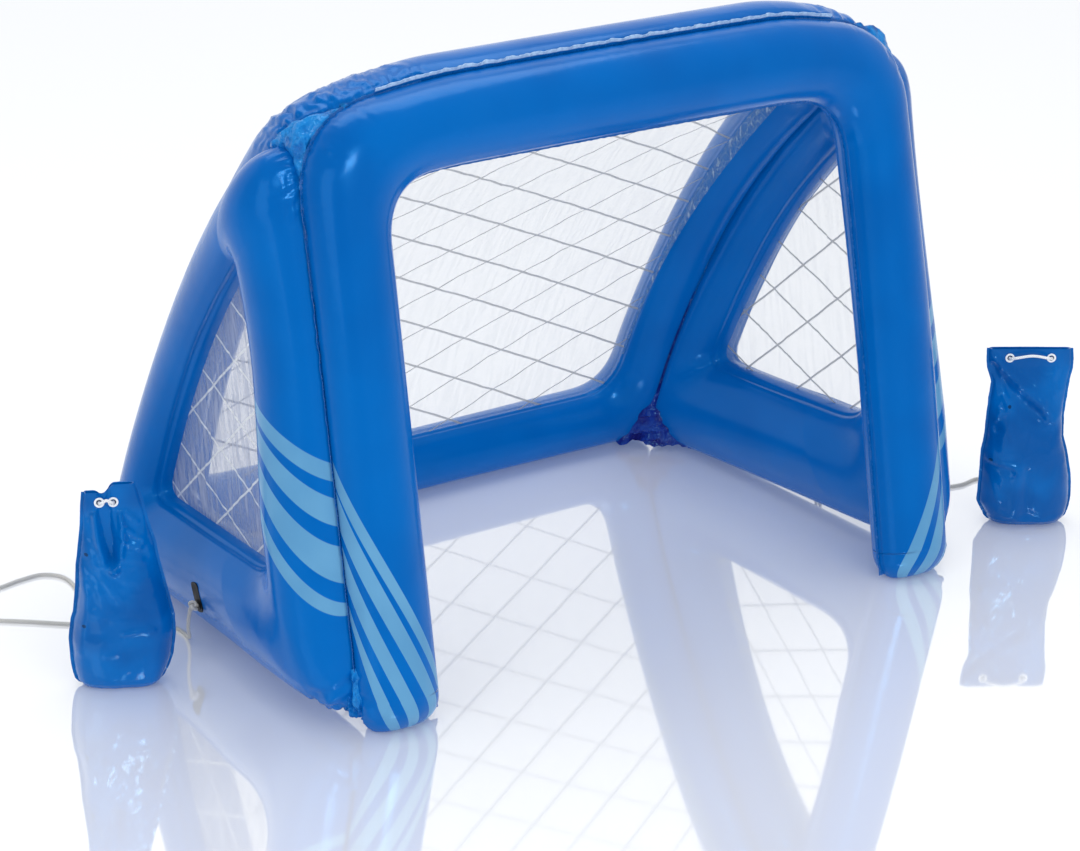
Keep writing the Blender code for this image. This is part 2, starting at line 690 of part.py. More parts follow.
def cap_mesh(name):
    """A valve cap on its hinge line: disc, strap and tapered plug, with the hinge at the origin."""
    bm = bmesh.new()
    move = Matrix.Translation((CAP_HINGE, 0, CAP_THICKNESS / 2))
    bmesh.ops.create_cone(
        bm, cap_ends=True, segments=24, radius1=CAP_RADIUS, radius2=CAP_RADIUS, depth=CAP_THICKNESS, matrix=move)
    bmesh.ops.remove_doubles(bm, verts=bm.verts, dist=0.00001)
    # the strap runs from the disc's rim to the hinge line
    rim = [f for f in bm.faces if abs(f.normal.z) < 0.5 and f.calc_center_median().x < CAP_HINGE - 0.97 * CAP_RADIUS]
    strap = bmesh.ops.extrude_face_region(bm, geom=rim)
    for item in strap["geom"]:
        if isinstance(item, bmesh.types.BMVert):
            item.co.x = 0.0
    bmesh.ops.delete(bm, geom=rim, context="FACES_ONLY")
    floor = [f for f in bm.faces if f.normal.z < -0.5 and len(f.verts) > 12]
    plug = bmesh.ops.inset_region(bm, faces=floor, thickness=CAP_RADIUS - PLUG_RADIUS, use_even_offset=True)
    floor = [f for f in bm.faces if f.normal.z < -0.5 and len(f.verts) > 12]
    down = bmesh.ops.extrude_face_region(bm, geom=floor)
    bmesh.ops.delete(bm, geom=floor, context="FACES_ONLY")
    scale = PLUG_TIP_RADIUS / PLUG_RADIUS
    for item in down["geom"]:
        if isinstance(item, bmesh.types.BMVert):
            item.co.x = CAP_HINGE + (item.co.x - CAP_HINGE) * scale
            item.co.y *= scale
            item.co.z -= PLUG_LENGTH
    del plug
    return to_mesh(bm, name)


def empty(name, matrix, group, parent=None):
    obj = bpy.data.objects.new(name, None)
    obj.empty_display_size = 0.02
    group.objects.link(obj)
    obj.parent = parent
    obj.matrix_basis = matrix
    return obj


def valve(name, body, seat, mats, group, tools):
    """A push-in valve on a chamber: the chamber gets a flat land and a well, the stem slides in the flange."""
    top = VALVE_FLANGE + GAP
    well = STEM_RADIUS + WELL_CLEARANCE
    depth = STEM_LENGTH - STEM_PROUD - top + WELL_CLEARANCE
    cut(body, cutter(name + "_land_cutter", cylinder("land", VALVE_LAND_RADIUS, 0.0, 0.02, 32), seat, tools))
    cut(body, cutter(name + "_well_cutter", cylinder("well", well, -depth, 0.01), seat, tools))
    base = empty(name, seat, group)
    bore = STEM_RADIUS + STEM_FIT
    flange = turned(name + "_flange", [(bore, GAP), (VALVE_FLANGE_RADIUS, GAP), (VALVE_FLANGE_RADIUS, top), (bore, top)])
    add(name + "_flange", flange, mats["vinyl"], group, parent=base)
    rim = top + STEM_PROUD
    low = rim - STEM_LENGTH
    stem = turned(name + "_stem", [(STEM_BORE_RADIUS, low), (STEM_RADIUS, low), (STEM_RADIUS, rim), (STEM_BORE_RADIUS, rim)])
    stem = add(name + "_stem", stem, mats["clear"], group, parent=base)
    hinge = empty(name + "_hinge", Matrix.Translation((-CAP_HINGE, 0, rim + GAP)), group, parent=stem)
    add(name + "_cap", cap_mesh(name + "_cap"), mats["clear"], group, parent=hinge)


def seat_on(rings, k, first, last, axis, value):
    """A valve seat on a flat of a chamber: sunk by the land's depth, square to the skin."""
    i, share = station(rings, k, first, last, axis, value)
    middle, out, down = flat_of(rings, i, k, share)
    return frame_at(middle - VALVE_LAND_DEPTH * out, out, down)


# Cords

def smooth(points, step):
    """Even points on a Catmull-Rom curve through the given ones."""
    route = np.array(points, float)
    route = np.vstack([2 * route[0] - route[1], route, 2 * route[-1] - route[-2]])
    t = np.linspace(0, 1, 24, endpoint=False)[:, None]
    fine = []
    for a, b, c, d in zip(route, route[1:], route[2:], route[3:]):
        fine.append(0.5 * (2 * b + (c - a) * t + (2 * a - 5 * b + 4 * c - d) * t ** 2 + (3 * b - a - 3 * c + d) * t ** 3))
    fine = np.vstack(fine + [route[-2:-1]])
    total = lengths(fine)[-1]
    return along(fine, np.linspace(0, total, max(int(round(total / step)), 2) + 1))


# The tethers' routes from below their tabs to the backs of their bags: distance outside the front weld line,
# distance behind the tab, and height above the floor
LEFT_ROUTE = (
    (0.072, 0.009, 0.040), (0.060, 0.026, 0.010), (0.049, 0.060, 0.0), (0.054, 0.098, 0.0), (0.089, 0.133, 0.0),
    (0.148, 0.171, 0.0), (0.195, 0.200, 0.0), (0.242, 0.240, 0.0), (0.298, 0.287, 0.0), (0.332, 0.341, 0.0),
    (0.298, 0.382, 0.0), (0.226, 0.392, 0.0), (0.180, 0.401, 0.0), (0.137, 0.401, 0.0), (0.111, 0.370, 0.0),
    (0.117, 0.312, 0.0), (0.148, 0.225, 0.0), (0.177, 0.137, 0.0), (0.188, 0.069, 0.0),
)
RIGHT_ROUTE = (
    (0.072, 0.009, 0.040), (0.060, 0.026, 0.010), (0.054, 0.069, 0.0), (0.072, 0.147, 0.0), (0.133, 0.200, 0.0),
    (0.196, 0.158, 0.0), (0.206, 0.040, 0.0), (0.204, -0.076, 0.0), (0.227, -0.146, 0.0), (0.271, -0.165, 0.0),
    (0.319, -0.160, 0.0), (0.359, -0.180, 0.0), (0.355, -0.226, 0.0), (0.320, -0.252, 0.0),
)


def beside(side, out, behind, height):
    """A place beside the goal, measured from its front weld line, its tab and the floor."""
    return side * (FRONT_WIDTH / 2 + out), TAB_PLACE - ORIGIN_BACK + behind, height


def tube(name, points, diameter, mat, group, parent=None):
    curve = bpy.data.curves.new(name, "CURVE")
    curve.dimensions = "3D"
    curve.bevel_depth = diameter / 2
    curve.bevel_resolution = 2
    curve.use_fill_caps = True
    spline = curve.splines.new("POLY")
    spline.points.add(len(points) - 1)
    for target, point in zip(spline.points, points):
        target.co = (*point, 1.0)
    obj = bpy.data.objects.new(name, curve)
    curve.materials.append(mat)
    group.objects.link(obj)
    obj.parent = parent
    return obj


# Anchor bags: shares of the height, the width and the thickness, from the floor to the open end
BAG_ROWS = (
    (0.000, 0.84, 0.62), (0.035, 0.95, 0.86), (0.116, 1.00, 1.00), (0.261, 1.00, 0.98), (0.420, 0.97, 0.88),
    (0.580, 0.94, 0.70), (0.710, 0.91, 0.50), (0.826, 0.93, 0.28), (0.905, 0.98, 0.00), (1.000, 1.00, 0.00),
)


def bag_line(share, neck, lean):
    """How wide a bag is for its neck, and how far its middle leans, at a share of its height."""
    gathered = 1 - (1 - neck) * max(share - 0.35, 0.0) / 0.65
    return gathered, lean * share ** 2


def bag_mesh(name, neck, lean):
    """A filled bag standing on the floor: rounded sections from its base to its flat collar."""
    bm = bmesh.new()
    rings = []
    for share, width, thickness in BAG_ROWS:
        gathered, aside = bag_line(share, neck, lean)
        half_x = BAG_WIDTH / 2 * width * gathered
        half_y = max(BAG_THICKNESS * thickness, BAG_NECK_THICKNESS) / 2
        power = 0.62 if thickness > 0 else 0.45
        ring = []
        for k in range(28):
            angle = 2 * math.pi * (k + 0.5) / 28
            x = half_x * math.copysign(abs(math.cos(angle)) ** power, math.cos(angle))
            y = half_y * math.copysign(abs(math.sin(angle)) ** power, math.sin(angle))
            ring.append(bm.verts.new((aside + x, y, BAG_HEIGHT * share)))
        rings.append(ring)
    for near, far in zip(rings, rings[1:]):
        for k in range(28):
            bm.faces.new((near[k], near[(k + 1) % 28], far[(k + 1) % 28], far[k]))
    bm.faces.new(rings[0])
    bm.faces.new(rings[-1])
    return to_mesh(bm, name)


def grommet_mesh(name, reach):
    """A grommet: a flat rim on the bag's collar and a barrel in its hole. Z points out of the bag."""
    rim = GAP + GROMMET_RIM
    return turned(name, [
        (GROMMET_BORE_RADIUS, -reach), (GROMMET_BARREL_RADIUS, -reach), (GROMMET_BARREL_RADIUS, GAP),
        (GROMMET_RIM_RADIUS, GAP), (GROMMET_RIM_RADIUS, rim), (GROMMET_BORE_RADIUS, rim)], 20)


def anchor_bag(side_name, place, yaw, neck, lean, spread, mats, group, tools):
    """A bag with two grommets in each wall of its collar and a drawstring through them.

    Gives back where the bag stands and where, in its own frame, a tether meets the drawstring.
    """
    base = empty(side_name + "_anchor", Matrix.Translation(place) @ Matrix.Rotation(yaw, 4, "Z"), group)
    mesh = bag_mesh(side_name + "_anchor_bag", neck, lean)
    bag = add(side_name + "_anchor_bag", mesh, mats["vinyl"], group, parent=base)
    height = BAG_HEIGHT - GROMMET_BELOW_TOP
    aside = bag_line(height / BAG_HEIGHT, neck, lean)[1]
    wall = BAG_NECK_THICKNESS / 2
    hole = GROMMET_BARREL_RADIUS + GAP
    for number, x in enumerate((aside - spread / 2, aside + spread / 2), 1):
        through = base.matrix_basis @ Matrix.Translation((x, 0, height)) @ Matrix.Rotation(math.pi / 2, 4, "X")
        drill = cylinder("grommet hole", hole, -BAG_THICKNESS, BAG_THICKNESS, 20)
        cut(bag, cutter(f"{side_name}_grommet_cutter_{number}", drill, through, tools))
        for wall_name, turn, y in (("front", math.pi / 2, -wall), ("back", -math.pi / 2, wall)):
            name = f"{side_name}_{wall_name}_grommet_{number}"
            matrix = Matrix.Translation((x, y, height)) @ Matrix.Rotation(turn, 4, "X")
            add(name, grommet_mesh(name, wall * 0.8), mats["white"], group, parent=base, matrix=matrix)
    half = spread / 2
    side_route = [
        (half * 0.4, wall + 0.018, -0.007), (half * 0.85, wall + 0.013, -0.002), (half, wall + 0.005, 0.0),
        (half, 0.0, 0.0), (half, -wall - 0.005, 0.0), (half * 0.78, -wall - 0.013, 0.004), (0, -wall - 0.015, 0.009),
    ]
    route = [(aside - x, y, height + z) for x, y, z in side_route[:-1]]
    route += [(aside + x, y, height + z) for x, y, z in side_route[::-1]]
    tube(side_name + "_drawstring", smooth(route, STRING_DIAMETER * 1.5), STRING_DIAMETER, mats["cord"], group, base)
    end_x, end_y, end_z = route[-1]
    return base, (end_x, end_y, end_z - STRING_DIAMETER / 2 - GAP)


def climb(base, end, lean):
    """A tether's way from the floor up the back of its bag to the drawstring."""
    points = []
    for share, out in ((0.03, 0.62), (0.12, 0.56), (0.27, 0.55), (0.44, 0.50), (0.60, 0.42), (0.75, 0.32), (0.86, 0.25)):
        points.append(base @ Vector((lean * share ** 2, BAG_THICKNESS * out + TETHER_DIAMETER / 2, BAG_HEIGHT * share)))
    return points + [base @ Vector(end)]


def tether_tab(side_name, rings, mats, group, tools):
    """A black tab on the lower outside of a side frame's bottom bar, with an eyelet in its hanging end."""
    first = LEG_STATIONS + REAR_STATIONS + 2 * CORNER_STATIONS
    i, share = station(rings, OUTERMOST, first, first + FOOT_STATIONS - 1, 1, TAB_PLACE - ORIGIN_BACK)
    middle, out, down = flat_of(rings, i, OUTERMOST, share)
    seat = frame_at(middle + out * 2 * GAP, out, down)
    corner = 0.008
    bm = bmesh.new()
    ends = []
    first, last = -TAB_LENGTH * 0.32, TAB_LENGTH * 0.68
    for x, y, start in ((last, TAB_WIDTH / 2, 0), (first, TAB_WIDTH / 2, 1), (first, -TAB_WIDTH / 2, 2), (last, -TAB_WIDTH / 2, 3)):
        centre = (x - math.copysign(corner, x), y - math.copysign(corner, y))
        for k in range(5):
            angle = math.pi / 2 * (start + k / 4)
            ends.append(bm.verts.new((centre[0] + corner * math.cos(angle), centre[1] + corner * math.sin(angle), 0.0)))
    plate = bm.faces.new(ends)
    raised = bmesh.ops.extrude_face_region(bm, geom=[plate])
    verts = [item for item in raised["geom"] if isinstance(item, bmesh.types.BMVert)]
    bmesh.ops.translate(bm, verts=verts, vec=(0, 0, TAB_THICKNESS))
    tab = add(side_name + "_tether_tab", to_mesh(bm, "tab"), mats["black"], group, matrix=seat)
    eye_x = last - TAB_WIDTH / 2
    eye = seat @ Matrix.Translation((eye_x, 0, 0))
    drill = cylinder("eyelet hole", TAB_HOLE_RADIUS, -0.01, 0.01, 20)
    cut(tab, cutter(side_name + "_eyelet_cutter", drill, eye, tools))
    top = TAB_THICKNESS + GAP
    eyelet = turned("eyelet", [
        (EYELET_BORE_RADIUS, GAP), (TAB_HOLE_RADIUS - GAP, GAP), (TAB_HOLE_RADIUS - GAP, top),
        (EYELET_RIM_RADIUS, top), (EYELET_RIM_RADIUS, top + EYELET_RIM), (EYELET_BORE_RADIUS, top + EYELET_RIM)], 20)
    add(side_name + "_tether_eyelet", eyelet, mats["black"], group, matrix=eye)
    return eye


def main():
    for obj in list(bpy.data.objects):
        bpy.data.objects.remove(obj)
    group, tools = collection("inflatable_goal"), collection("cutters")
    mats = {
        "vinyl": material("blue_vinyl", linear(0, 100, 180), 0.25),
        "film": material("clear_film", linear(225, 230, 235), 0.15, alpha=0.35),
        "clear": material("clear_vinyl", linear(205, 215, 225), 0.3),
        "black": material("black_rubber", linear(20, 22, 26), 0.5),
        "white": material("white_plastic", linear(235, 238, 242), 0.35),
        "cord": material("grey_cord", linear(205, 205, 205), 0.8),
    }
    vinyl = mats["vinyl"]
    left, right = SidePanel(-1), SidePanel(1)
    front_rings, back_rings = sections(FrontPanel()), sections(BackPanel())
    left_rings, right_rings = sections(left), sections(right)
    front = chamber("front_frame", front_rings, False, vinyl, group)
    left_side = chamber("left_side_frame", left_rings, True, vinyl, group)
    right_side = chamber("right_side_frame", right_rings, True, vinyl, group)
    back = chamber("back_frame", back_rings, True, vinyl, group)
    window("left_window", left, 0, mats["film"], group)
    window("right_window", right, 0, mats["film"], group)
    window("back_window", BackPanel(), 14, mats["film"], group)
    weld_flange("top_weld", *top_flange(), vinyl, group)
    for name, side in (("left", -1), ("right", 1)):
        weld_flange(f"front_{name}_weld", *front_flange(side), vinyl, group)
        weld_flange(f"rear_{name}_weld", *rear_flange(side), vinyl, group)
        gusset(f"top_{name}_gusset", *top_gusset(side), vinyl, group)
        gusset(f"rear_{name}_gusset", *rear_gusset(side), vinyl, group)

    foot = LEG_STATIONS + REAR_STATIONS + 2 * CORNER_STATIONS
    rear_foot = REAR_STATIONS + CORNER_STATIONS
    valves = (
        ("front_valve", front, front_rings, INNER_REAR, 4, LEG_STATIONS + 2, 2, VALVE_ON_LEG),
        ("left_valve", left_side, left_rings, INNERMOST, foot, foot + FOOT_STATIONS - 1, 1, VALVE_ON_SIDE - ORIGIN_BACK),
        ("right_valve", right_side, right_rings, OUTERMOST, foot, foot + FOOT_STATIONS - 1, 1, VALVE_ON_SIDE - ORIGIN_BACK),
        ("back_valve", back, back_rings, OUTERMOST, rear_foot, rear_foot + 8, 0, VALVE_ON_BACK),
    )
    for name, body, *where in valves:
        valve(name, body, seat_on(*where), mats, group, tools)

    for name, side, rings, floor_route, out, behind, yaw, neck, lean, spread in (
        ("left", -1, left_rings, LEFT_ROUTE, *LEFT_BAG), ("right", 1, right_rings, RIGHT_ROUTE, *RIGHT_BAG),
    ):
        place = beside(side, out, behind, 0.0)
        base, end = anchor_bag(name, place, yaw, neck, lean, spread, mats, group, tools)
        eye = tether_tab(name, rings, mats, group, tools)
        lead = [eye @ Vector((0, 0, z)) for z in (2 * GAP, 0.008, 0.016)]
        route = lead + [beside(side, x, y, TETHER_DIAMETER / 2 + z) for x, y, z in floor_route]
        route = smooth(route + climb(base.matrix_basis, end, lean), TETHER_STEP)
        route[:, 2] = np.maximum(route[:, 2], TETHER_DIAMETER / 2)
        tube(name + "_tether", route, TETHER_DIAMETER, mats["cord"], group)


main()
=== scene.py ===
"""Looks of an inflatable goal with clear net windows and two anchor bags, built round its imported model."""
import json
import math

import bmesh
import bpy
import numpy as np
from mathutils import Matrix, Vector
from mathutils.geometry import delaunay_2d_cdt


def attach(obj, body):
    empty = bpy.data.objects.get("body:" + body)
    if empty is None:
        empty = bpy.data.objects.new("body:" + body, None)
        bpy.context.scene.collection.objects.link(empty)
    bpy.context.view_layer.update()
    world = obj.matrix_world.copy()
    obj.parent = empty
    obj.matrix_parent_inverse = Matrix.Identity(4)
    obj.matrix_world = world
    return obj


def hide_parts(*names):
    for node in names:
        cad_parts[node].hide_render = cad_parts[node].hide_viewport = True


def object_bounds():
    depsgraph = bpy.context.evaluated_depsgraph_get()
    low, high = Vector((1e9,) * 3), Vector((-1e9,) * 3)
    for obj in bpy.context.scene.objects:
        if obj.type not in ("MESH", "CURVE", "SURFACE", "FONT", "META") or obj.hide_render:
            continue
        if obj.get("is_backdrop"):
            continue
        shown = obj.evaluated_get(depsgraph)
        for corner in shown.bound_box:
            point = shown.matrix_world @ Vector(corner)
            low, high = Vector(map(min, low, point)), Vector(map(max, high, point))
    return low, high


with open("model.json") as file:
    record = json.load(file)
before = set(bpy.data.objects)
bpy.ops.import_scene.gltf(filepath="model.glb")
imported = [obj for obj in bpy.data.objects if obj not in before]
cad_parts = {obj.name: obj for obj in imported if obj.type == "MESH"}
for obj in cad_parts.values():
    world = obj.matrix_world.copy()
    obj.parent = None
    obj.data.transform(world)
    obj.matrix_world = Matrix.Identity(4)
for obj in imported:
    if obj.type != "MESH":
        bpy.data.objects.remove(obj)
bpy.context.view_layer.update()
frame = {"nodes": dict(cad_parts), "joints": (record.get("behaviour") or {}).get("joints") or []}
GOAL = "goal"


# Camera: a long lens, in front of the goal to its left and well above it, rolled very slightly.
# Its place, its turn and the lens were solved on the chambers' corners.
CAMERA_PLACE = (-3.1858, -4.3254, 2.4135)
CAMERA_TURN = 0.63684
CAMERA_DOWN = 0.38115
CAMERA_ROLL = 0.028
LENS_MM = 110.27


def camera_matrix(place, turn, down, roll):
    """The camera looks along +Y, turned to the right, tipped down and rolled."""
    ahead = Vector((math.sin(turn) * math.cos(down), math.cos(turn) * math.cos(down), -math.sin(down)))
    right = Vector((math.cos(turn), -math.sin(turn), 0.0))
    up = right.cross(ahead)
    across = math.cos(roll) * right + math.sin(roll) * up
    upright = math.cos(roll) * up - math.sin(roll) * right
    matrix = Matrix((across, upright, -ahead)).transposed().to_4x4()
    matrix.translation = place
    return matrix


camera = bpy.data.objects.new("camera", bpy.data.cameras.new("camera"))
camera.data.sensor_width = 36.0
camera.data.lens = LENS_MM
camera.data.clip_end = 60.0
camera.matrix_world = camera_matrix(CAMERA_PLACE, CAMERA_TURN, CAMERA_DOWN, CAMERA_ROLL)
bpy.context.scene.collection.objects.link(camera)
bpy.context.scene.camera = camera


# Tether cords and drawstrings: thin braided polyester. Each tether is knotted through its side tab's eyelet, lies
# loose on the floor, climbs the back of its bag and is hitched to the drawstring in the bag's grommets.
TETHER_DIAMETER = 0.006
STRING_DIAMETER = 0.005
TETHER_STEP, STRING_STEP = 0.004, 0.0025        # spacing of the points along each
KNOT_OUT, TAIL_OUT = 0.011, 0.013               # the stopper knot and its tail, from the middle of the eyelet
KNOT_RADIUS, KNOT_SIZE = 0.0027, 0.0026         # the cord in the knot, and a sixth of the knot's width
TIGHT_RADIUS = 0.0026                           # the cord where it is drawn tight, in the tail and the hitch
HITCH_TURNS, HITCH_PITCH, HITCH_RADIUS = 2.3, 0.0058, 0.0056
HITCH_BACK, HITCH_RISE = 0.0066, 0.0028         # where the hitch starts, from the tether's end
# Each cord's line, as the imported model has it
TETHERS = {
    "left": (
        (-0.6744, 0.0067, 0.0824), (-0.6818, 0.0074, 0.0816), (-0.6897, 0.0081, 0.0807), (-0.6900, 0.0165, 0.0430),
        (-0.6780, 0.0335, 0.0130), (-0.6670, 0.0675, 0.0030), (-0.6720, 0.1055, 0.0030), (-0.7070, 0.1405, 0.0030),
        (-0.7660, 0.1785, 0.0030), (-0.8130, 0.2075, 0.0030), (-0.8600, 0.2475, 0.0030), (-0.9160, 0.2945, 0.0030),
        (-0.9500, 0.3485, 0.0030), (-0.9160, 0.3895, 0.0030), (-0.8440, 0.3995, 0.0030), (-0.7980, 0.4085, 0.0030),
        (-0.7550, 0.4085, 0.0030), (-0.7290, 0.3775, 0.0030), (-0.7350, 0.3195, 0.0030), (-0.7660, 0.2325, 0.0030),
        (-0.7950, 0.1445, 0.0030), (-0.8060, 0.0765, 0.0030), (-0.8141, 0.0207, 0.0102), (-0.8166, 0.0161, 0.0407),
        (-0.8183, 0.0160, 0.0915), (-0.8228, 0.0133, 0.1492), (-0.8294, 0.0088, 0.2034), (-0.8376, 0.0031, 0.2543),
        (-0.8441, -0.0005, 0.2915), (-0.8440, -0.0014, 0.3122)),
    "right": (
        (0.6744, 0.0067, 0.0824), (0.6818, 0.0074, 0.0816), (0.6897, 0.0081, 0.0807), (0.6900, 0.0165, 0.0430),
        (0.6780, 0.0335, 0.0130), (0.6720, 0.0765, 0.0030), (0.6900, 0.1545, 0.0030), (0.7510, 0.2075, 0.0030),
        (0.8140, 0.1655, 0.0030), (0.8240, 0.0475, 0.0030), (0.8220, -0.0685, 0.0030), (0.8450, -0.1385, 0.0030),
        (0.8890, -0.1575, 0.0030), (0.9370, -0.1525, 0.0030), (0.9770, -0.1725, 0.0030), (0.9730, -0.2185, 0.0030),
        (0.9380, -0.2445, 0.0030), (0.9102, -0.2912, 0.0102), (0.9072, -0.2955, 0.0407), (0.9060, -0.2958, 0.0915),
        (0.9020, -0.2984, 0.1492), (0.8961, -0.3029, 0.2034), (0.8887, -0.3086, 0.2543), (0.8831, -0.3122, 0.2915),
        (0.8934, -0.3196, 0.3122)),
}
DRAWSTRINGS = {
    "left": (
        (-0.8519, 0.0025, 0.3150), (-0.8585, 0.0002, 0.3200), (-0.8635, -0.0063, 0.3220), (-0.8683, -0.0162, 0.3220),
        (-0.8732, -0.0261, 0.3220), (-0.8745, -0.0343, 0.3260), (-0.8677, -0.0399, 0.3310), (-0.8591, -0.0418, 0.3260),
        (-0.8534, -0.0357, 0.3220), (-0.8486, -0.0258, 0.3220), (-0.8438, -0.0159, 0.3220), (-0.8417, -0.0080, 0.3200),
        (-0.8440, -0.0014, 0.3150)),
    "right": (
        (0.8676, -0.3034, 0.3150), (0.8504, -0.2986, 0.3200), (0.8414, -0.3024, 0.3220), (0.8355, -0.3117, 0.3220),
        (0.8297, -0.3210, 0.3220), (0.8326, -0.3323, 0.3260), (0.8566, -0.3497, 0.3310), (0.8828, -0.3637, 0.3260),
        (0.8942, -0.3613, 0.3220), (0.9000, -0.3520, 0.3220), (0.9058, -0.3427, 0.3220), (0.9052, -0.3329, 0.3200),
        (0.8934, -0.3196, 0.3150)),
}


def rgb(red, green, blue):
    """A colour from its 0 to 255 screen values."""
    shares = [c / 255 for c in (red, green, blue)]
    return [s / 12.92 if s <= 0.04045 else ((s + 0.055) / 1.055) ** 2.4 for s in shares] + [1.0]


class Finish:
    """A material in the making: each call adds one node, set and wired."""

    def __init__(self, name, **sockets):
        self.material = bpy.data.materials.new(name)
        self.material.use_nodes = True
        self.tree = self.material.node_tree
        self.shader = self.tree.nodes["Principled BSDF"]
        self.set(self.shader, sockets)

    def set(self, node, inputs):
        for key, value in inputs.items():
            socket = node.inputs[key if isinstance(key, int) else key.replace("_", " ")]
            if isinstance(value, bpy.types.NodeSocket):
                self.tree.links.new(value, socket)
            else:
                socket.default_value = value

    def add(self, kind, inputs=(), out=0, **settings):
        node = self.tree.nodes.new("ShaderNode" + kind)
        for key, value in settings.items():
            setattr(node, key, value)
        self.set(node, dict(inputs))
        return node.outputs[out]

    def math(self, operation, *values):
        return self.add("Math", dict(enumerate(values)), operation=operation)

    def ramp(self, value, low, high, to_low=0.0, to_high=1.0):
        return self.add("MapRange", {0: value, 1: low, 2: high, 3: to_low, 4: to_high}, interpolation_type="SMOOTHSTEP")

    def mix(self, share, first, second):
        node = self.tree.nodes.new("ShaderNodeMix")
        node.data_type = "RGBA"
        self.set(node, {0: share, 6: first, 7: second})
        return node.outputs[2]

    def noise(self, place, scale, detail=3.0, roughness=0.5):
        return self.add("TexNoise", {"Vector": place, "Scale": scale, "Detail": detail, "Roughness": roughness})

    def split(self, vector):
        node = self.tree.nodes.new("ShaderNodeSeparateXYZ")
        self.set(node, {0: vector})
        return node.outputs[0], node.outputs[1], node.outputs[2]

    def stretched(self, place, scale):
        return self.add("Mapping", {"Vector": place, "Scale": scale})

    def bump(self, height, distance, strength=1.0, under=None):
        inputs = {"Height": height, "Distance": distance, "Strength": strength}
        if under is not None:
            inputs["Normal"] = under
        return self.add("Bump", inputs)


def braided(name, light, dark):
    """Braided cord: two crossing sets of yarns round it, from the cord's own UV map (turns, metres)."""
    cord = Finish(name, Roughness=0.75, Sheen_Weight=0.15)
    turns, run, _ = cord.split(cord.add("UVMap", uv_map="cord"))
    one = cord.math("PINGPONG", cord.math("MULTIPLY_ADD", run, 260.0, cord.math("MULTIPLY", turns, 4.0)), 0.5)
    two = cord.math("PINGPONG", cord.math("MULTIPLY_ADD", run, 260.0, cord.math("MULTIPLY", turns, -4.0)), 0.5)
    yarns = cord.math("MULTIPLY", cord.math("MAXIMUM", one, two), 2.0)
    fuzz = cord.noise(cord.add("TexCoord", out=3), 1400.0, 2.0)
    tone = cord.math("MULTIPLY_ADD", fuzz, 0.25, cord.math("MULTIPLY", yarns, 0.75))
    cord.set(cord.shader, {"Base Color": cord.mix(cord.ramp(tone, 0.2, 0.8), dark, light),
                           "Normal": cord.bump(yarns, 0.0005, 0.9)})
    return cord.material


def lengths(path):
    """The distance along a path at each of its points."""
    return np.concatenate([[0.0], np.cumsum(np.linalg.norm(np.diff(path, axis=0), axis=1))])


def along(path, distances):
    """The places at these distances along a path."""
    run = lengths(path)
    return np.column_stack([np.interp(distances, run, path[:, k]) for k in range(path.shape[1])])


def smooth_line(points, step):
    """Even points on a smooth curve through the given ones."""
    route = np.array(points, float)
    route = np.vstack([2 * route[0] - route[1], route, 2 * route[-1] - route[-2]])
    t = np.linspace(0, 1, 24, endpoint=False)[:, None]
    fine = []
    for a, b, c, d in zip(route, route[1:], route[2:], route[3:]):
        fine.append(0.5 * (2 * b + (c - a) * t + (2 * a - 5 * b + 4 * c - d) * t ** 2
                           + (3 * b - a - 3 * c + d) * t ** 3))
    fine = np.vstack(fine + [route[-2:-1]])
    total = lengths(fine)[-1]
    return along(fine, np.linspace(0, total, max(int(round(total / step)), 2) + 1))


def strip(bm, near, far, ring=True):
    """Faces between two rows of points, and on round to the first ones where the rows are rings."""
    count = len(near)
    return [bm.faces.new((near[k], near[(k + 1) % count], far[(k + 1) % count], far[k]))
            for k in range(count if ring else count - 1)]


def sweep(bm, line, radius, sides=12, ring=False):
    """Adds a round cord along a line: closed into a ring, or with rounded ends."""
    line = np.asarray(line, float)
    radii = np.full(len(line), radius)
    if not ring:
        first, last = line[0] - line[1], line[-1] - line[-2]
        first, last = first / np.linalg.norm(first), last / np.linalg.norm(last)
        line = np.vstack([line[0] + first * radius * 0.5, line[0] + first * radius * 0.3, line,
                          line[-1] + last * radius * 0.3, line[-1] + last * radius * 0.5])
        radii = np.concatenate([[radius * 0.35, radius * 0.8], radii, [radius * 0.8, radius * 0.35]])
    ahead = np.roll(line, -1, 0) - np.roll(line, 1, 0) if ring else np.gradient(line, axis=0)
    ahead /= np.linalg.norm(ahead, axis=1)[:, None]
    side = np.cross(ahead[0], (0.0, 0.0, 1.0) if abs(ahead[0][2]) < 0.9 else (1.0, 0.0, 0.0))
    run = lengths(line)
    uv = bm.loops.layers.uv.get("cord") or bm.loops.layers.uv.new("cord")
    angles = 2 * math.pi * np.arange(sides) / sides
    rings = []
    for point, way, wide in zip(line, ahead, radii):
        side = side - way * side.dot(way)
        side /= np.linalg.norm(side)
        up = np.cross(way, side)
        rings.append([bm.verts.new(point + wide * (math.cos(a) * side + math.sin(a) * up)) for a in angles])
    pairs = [(i, i + 1) for i in range(len(rings) - 1)] + ([(len(rings) - 1, 0)] if ring else [])
    for i, j in pairs:
        far = run[j] if j else run[i] + np.linalg.norm(line[0] - line[i])
        for k, face in enumerate(strip(bm, rings[i], rings[j])):
            for loop, place in zip(face.loops, ((k, run[i]), (k + 1, run[i]), (k + 1, far), (k, far))):
                loop[uv].uv = (place[0] / sides, place[1])
    if not ring:
        bm.faces.new(rings[0])
        bm.faces.new(rings[-1])


